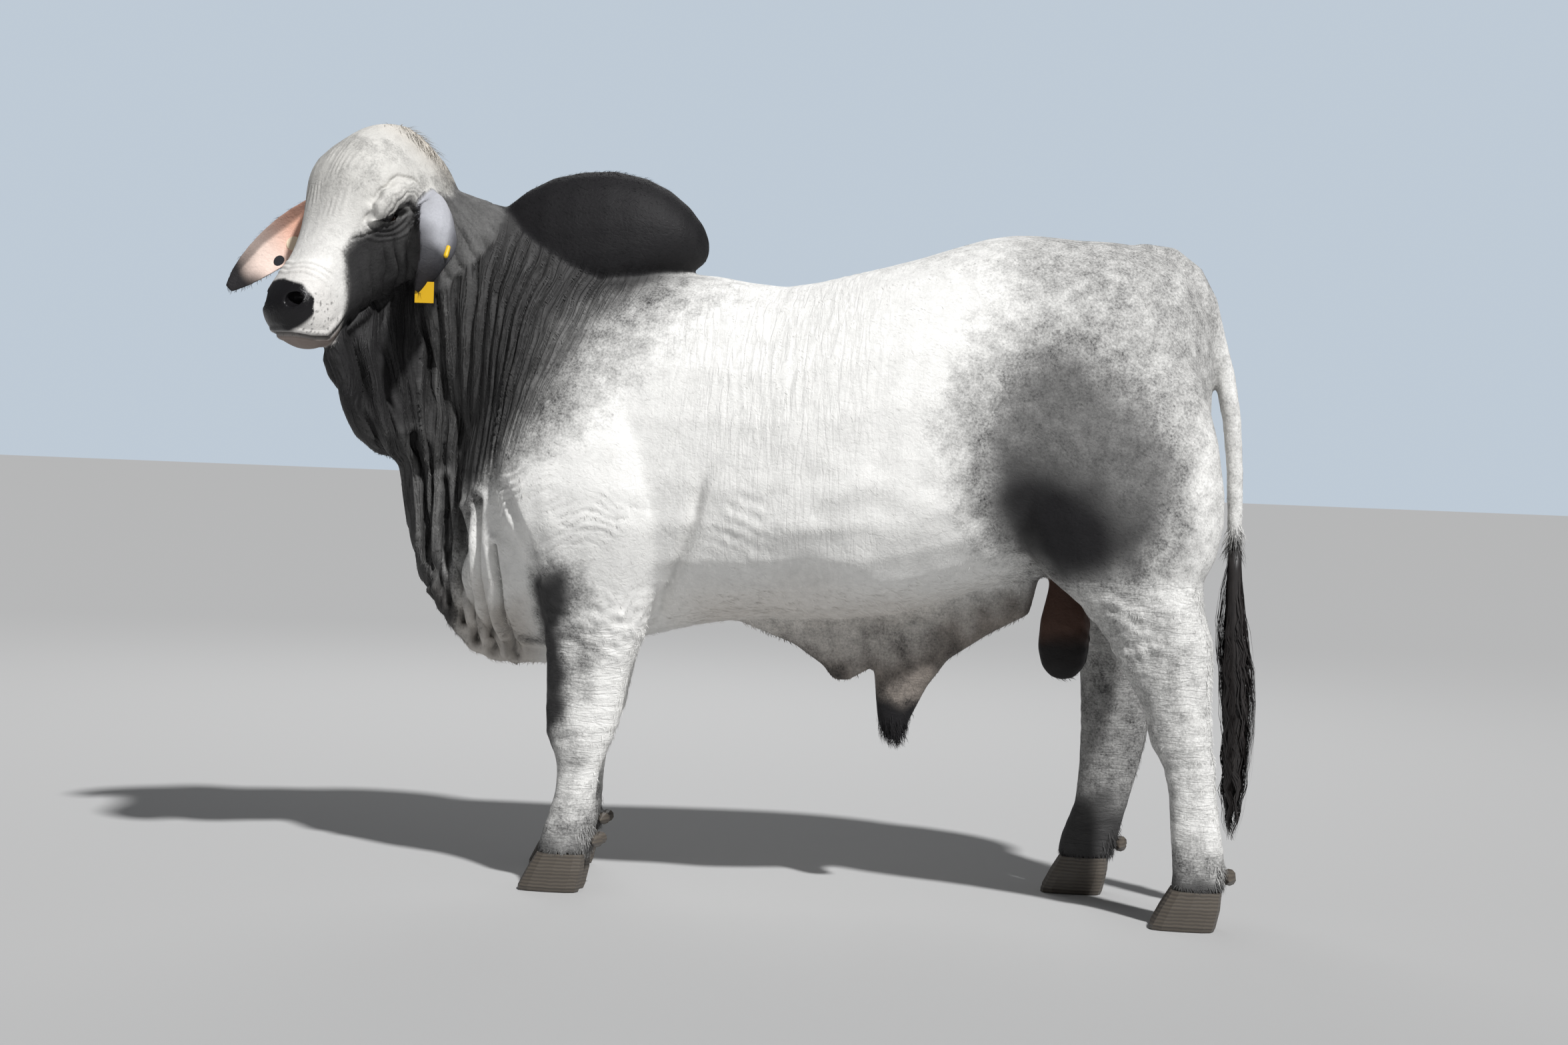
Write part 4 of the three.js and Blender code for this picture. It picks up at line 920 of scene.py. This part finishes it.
# Dry horn is half matt, with level growth ridges. The wave draws about three of them to each 25 mm.
hoof_horn, tree = new_material("dry hoof horn")
place = add_node(tree, "TexCoord").outputs["Object"]
growth = {"Vector": place, "Scale": per_mm(25), "Distortion": 2.5, "Detail": 3.0}
bands = add_node(tree, "TexWave", {"wave_type": "BANDS", "bands_direction": "Z"}, growth).outputs["Fac"]
horn = {"Factor": bands, 6: (*linear("#4a443e"), 1), 7: (*linear("#5c554c"), 1)}
shade = add_node(tree, "Mix", {"data_type": "RGBA"}, horn).outputs[2]
ridges = add_node(tree, "Bump", {}, {"Height": bands, "Strength": 0.22, "Distance": 0.002}).outputs["Normal"]
finish = {"Base Color": shade, "Roughness": 0.5, "IOR": 1.54, "Normal": ridges}
finish_with(tree, finish)
for name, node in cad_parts.items():
    if "claw" not in name:
        continue
    piece = new_object(name + "_horn", node.data.copy())
    piece.data.materials.clear()
    piece.data.materials.append(hoof_horn)
    bevel = piece.modifiers.new("rounded edges", "BEVEL")
    bevel.width = 0.004
    bevel.segments = 3
    bevel.limit_method = "ANGLE"
    shade_smooth(piece.data)
    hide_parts(name)
    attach(piece, "root")

# Tail switch: long wavy black hair, in flat locks bound round the end of the tail. Each lock leaves the
# tail's core at its own height, swells out, and hangs to a point.

# Coarse long hair is black with brown strands, and takes long dull highlights.
black_hair, tree = new_material("wavy black switch hair")
place = add_node(tree, "TexCoord").outputs["Object"]
strand = {0: place, 1: (per_mm(4), per_mm(4), per_mm(40))}
strands = add_node(tree, "VectorMath", {"operation": "MULTIPLY"}, strand).outputs["Vector"]
streaks = add_node(tree, "TexNoise", {}, {"Vector": strands, "Scale": 1.0, "Detail": 2.0}).outputs["Fac"]
browned = {"Factor": streaks, 6: (*linear("#0d0c0e"), 1), 7: (*linear("#3a3635"), 1)}
shade = add_node(tree, "Mix", {"data_type": "RGBA"}, browned).outputs[2]
finish = {"Base Color": shade, "Roughness": 0.45, "IOR": 1.55, "Specular IOR Level": 0.35}
finish_with(tree, finish)

LOCKS, STEPS = 1500, 12
TOP, FOOT = 0.812, 0.165  # m, between which the switch hangs


def tail_line(height):
    """How far back the middle of the switch hangs at a height, in metres."""
    return 0.873 + 0.017 * ease(0.75 - height, 0, 0.35)


draw = np.random.default_rng(71)
begins = draw.uniform(0, 1, LOCKS) ** 0.8
top = TOP - begins * 0.43
length = (0.44 - 0.20 * begins) * draw.uniform(0.72, 1.2, LOCKS)
length = np.minimum(length, (top - FOOT) * draw.uniform(0.55, 1.0, LOCKS))
heading = draw.uniform(0, 2 * math.pi, LOCKS)
clump = np.round(heading / 0.6 + 3 * begins) * 0.6
reach = draw.uniform(0.25, 1.0, LOCKS) ** 0.6 * np.interp(begins, [0, 0.5, 1], [0.030, 0.036, 0.024])
reach *= 0.80 + 0.40 * np.sin(clump * 7.3 + 5 * begins)
wave = draw.uniform(0.004, 0.008, LOCKS)
start_wave = draw.uniform(0, 2 * math.pi, LOCKS)
points = np.empty((LOCKS, STEPS, 2, 3))
for step_down in range(STEPS):
    t = step_down / (STEPS - 1)
    angle = heading + (clump - heading) * min(1, 0.35 + t) * 0.85 + 0.25 * np.sin(4 * t + clump * 3)
    swell = 0.006 + reach * np.sin(math.pi * min(1, 0.93 * t + 0.05)) ** 0.8
    down = top - length * t
    curl = wave * min(1, 3 * t) * np.sin(down / 0.075 * 2 * math.pi + clump * 5 + 0.25 * start_wave)
    centre = np.stack([tail_line(down), np.zeros(LOCKS), down], 1)
    out = np.stack([np.cos(angle), 0.62 * np.sin(angle), np.zeros(LOCKS)], 1)
    aside = np.stack([-np.sin(angle), np.cos(angle), np.zeros(LOCKS)], 1)
    spot = centre + out * swell[:, None] + aside * curl[:, None]
    for edge, sign in enumerate((-1, 1)):
        points[:, step_down, edge] = spot + aside * sign * (0.0016 * (1 - t) ** 0.5 + 0.0002)
faces = []
for lock in range(LOCKS):
    for step_down in range(STEPS - 1):
        a = (lock * STEPS + step_down) * 2
        faces.append((a, a + 1, a + 3, a + 2))
lock_mesh = bpy.data.meshes.new("switch_locks")
lock_mesh.from_pydata((points.reshape(-1, 3) + SHIFT).tolist(), [], faces)
lock_mesh.uv_layers.new(name="OFBake")
patch = np.tile(np.array([[-1, -1], [1, -1], [1, 1], [-1, 1]]) * PATCH, (LOCKS * (STEPS - 1), 1, 1))
homes = np.stack([0.02 + 0.96 * heading / (2 * math.pi), 0.02 + 0.96 * begins], 1).repeat(STEPS - 1, 0)
lock_mesh.uv_layers["OFBake"].data.foreach_set("uv", (homes[:, None] + patch).astype(np.float32).ravel())
lock_mesh.materials.append(black_hair)
shade_smooth(lock_mesh)
switch = new_object("switch_locks", lock_mesh)
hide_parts("tail_switch")
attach(switch, "root")

# inside the locks, the tail goes on as a tapering core
core = bmesh.new()
SIDES = 16
CORE = ((0.8118, 0.0145), (0.76, 0.016), (0.68, 0.018), (0.56, 0.018), (0.42, 0.009), (0.31, 0.001))
rings = []
for height, radius in CORE:
    ring = []
    for k in range(SIDES):
        turn = k * 2 * math.pi / SIDES
        spot = (tail_line(height) + radius * math.cos(turn), radius * math.sin(turn), height)
        ring.append(core.verts.new(Vector(SHIFT) + Vector(spot)))
    rings.append(ring)
for upper, lower in zip(rings[:-1], rings[1:]):
    for k in range(SIDES):
        core.faces.new((upper[k], lower[k], lower[(k + 1) % SIDES], upper[(k + 1) % SIDES]))
core.faces.new(rings[0])
core.faces.new(rings[-1][::-1])
core_mesh = bpy.data.meshes.new("switch_core")
core.to_mesh(core_mesh)
core.free()
core_mesh.materials.append(black_hair)
shade_smooth(core_mesh)
core_piece = new_object("switch_core", core_mesh)
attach(core_piece, "root")

# Ear tags: two yellow ones in the near ear and two round buttons in the far one, injection moulded in
# plastic and pressed through the ear. The plastic has an even colour and soft highlights.

TAGS = {"ear_tag_oval": "#e2b81c", "ear_tag_flap": "#dcae1a"}
TAGS |= {"ear_button_dark": "#2c2c30", "ear_button_pale": "#f5e2c6"}
for name, code in TAGS.items():
    plastic, tree = new_material("moulded ear tag " + code)
    finish = {"Base Color": (*linear(code), 1), "Roughness": 0.42, "IOR": 1.49}
    finish_with(tree, finish)
    tag = new_object(name + "_plastic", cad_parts[name].data.copy())
    tag.data.materials.clear()
    tag.data.materials.append(plastic)
    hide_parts(name)
    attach(tag, "root")

# Studio: a pale floor, a soft sun from above on the left with weak fill and rim lamps, and the camera at
# the photograph's place, a little behind the bull's middle.

ground = bpy.data.meshes.new("floor")
ground.from_pydata([(-30, -30, 0), (30, -30, 0), (30, 30, 0), (-30, 30, 0)], [], [(0, 1, 2, 3)])
floor = new_object("floor", ground)
floor.location.z = -0.001
floor_paint, tree = new_material("pale matt floor")
finish = {"Base Color": (*linear("#b4b4b4"), 1), "Roughness": 0.9}
finish_with(tree, finish)
ground.materials.append(floor_paint)

world = bpy.data.worlds.new("soft room")
bpy.context.scene.world = world
world.use_nodes = True
tree = world.node_tree
tree.nodes.clear()
seen = add_node(tree, "LightPath").outputs["Is Camera Ray"]
room = add_node(tree, "Background", {}, {"Color": (*linear("#dfe4ea"), 1), "Strength": 0.12})
wall = add_node(tree, "Background", {}, {"Color": (*linear("#c3cfdb"), 1), "Strength": 0.95})
shown = add_node(tree, "MixShader", {}, {0: seen, 1: room.outputs[0], 2: wall.outputs[0]})
add_node(tree, "OutputWorld", {}, {"Surface": shown.outputs[0]})
bpy.context.scene.view_settings.view_transform = "Standard"


def lamp(name, place, target, size, watts):
    light = bpy.data.lights.new(name, "AREA")
    light.shape = "SQUARE"
    light.size = size
    light.energy = watts
    made = new_object(name, light)
    made.location = place
    made.rotation_mode = "QUATERNION"
    made.rotation_quaternion = (Vector(target) - Vector(place)).to_track_quat("-Z", "Y")


sun = bpy.data.lights.new("key", "SUN")
sun.energy = 4.1
sun.angle = math.radians(3)
sun.color = linear("#fefefe")
key = new_object("key", sun)
key.rotation_mode = "QUATERNION"
key.rotation_quaternion = Vector((-3.0, 4.0, -5.6)).to_track_quat("-Z", "Y")
lamp("fill", (-3.8, -5.0, 2.6), (0, 0, 0.8), 4.0, 10)
lamp("rim", (-1.0, 4.5, 4.0), (0, 0, 1.0), 3.0, 60)

PHOTO_WIDE, PHOTO_HIGH = 2352, 1568
FOCAL = 4322.5  # in pixels of the photograph
AZIMUTH, ROLL = math.radians(8.0), math.radians(2.0)
DISTANCE, LENS_HEIGHT = 6.5, 1.115
HORIZON, MIDDLE = 597.0, 1267.0  # its row, and the column of the middle of the body
level = np.array([-math.sin(AZIMUTH), math.cos(AZIMUTH), 0.0])
right = np.array([math.cos(AZIMUTH), math.sin(AZIMUTH), 0.0])
aside = right * ((MIDDLE - PHOTO_WIDE / 2) / FOCAL * DISTANCE)
place = np.array([0, 0, LENS_HEIGHT]) - level * DISTANCE - aside
pitch = -math.atan((PHOTO_HIGH / 2 - HORIZON) / FOCAL)
ahead = level * math.cos(pitch) + np.array([0, 0, math.sin(pitch)])
over = np.cross(right, ahead)
turned_right = right * math.cos(ROLL) + over * math.sin(ROLL)
turned_up = -right * math.sin(ROLL) + over * math.cos(ROLL)
lens = bpy.data.cameras.new("photograph")
lens.sensor_width = 36.0
lens.lens = FOCAL / PHOTO_WIDE * 36.0
camera = new_object("photograph", lens)
turn = Matrix([turned_right, turned_up, -ahead]).transposed().to_4x4()
camera.matrix_world = Matrix.Translation(Vector(place + SHIFT)) @ turn
bpy.context.scene.camera = camera
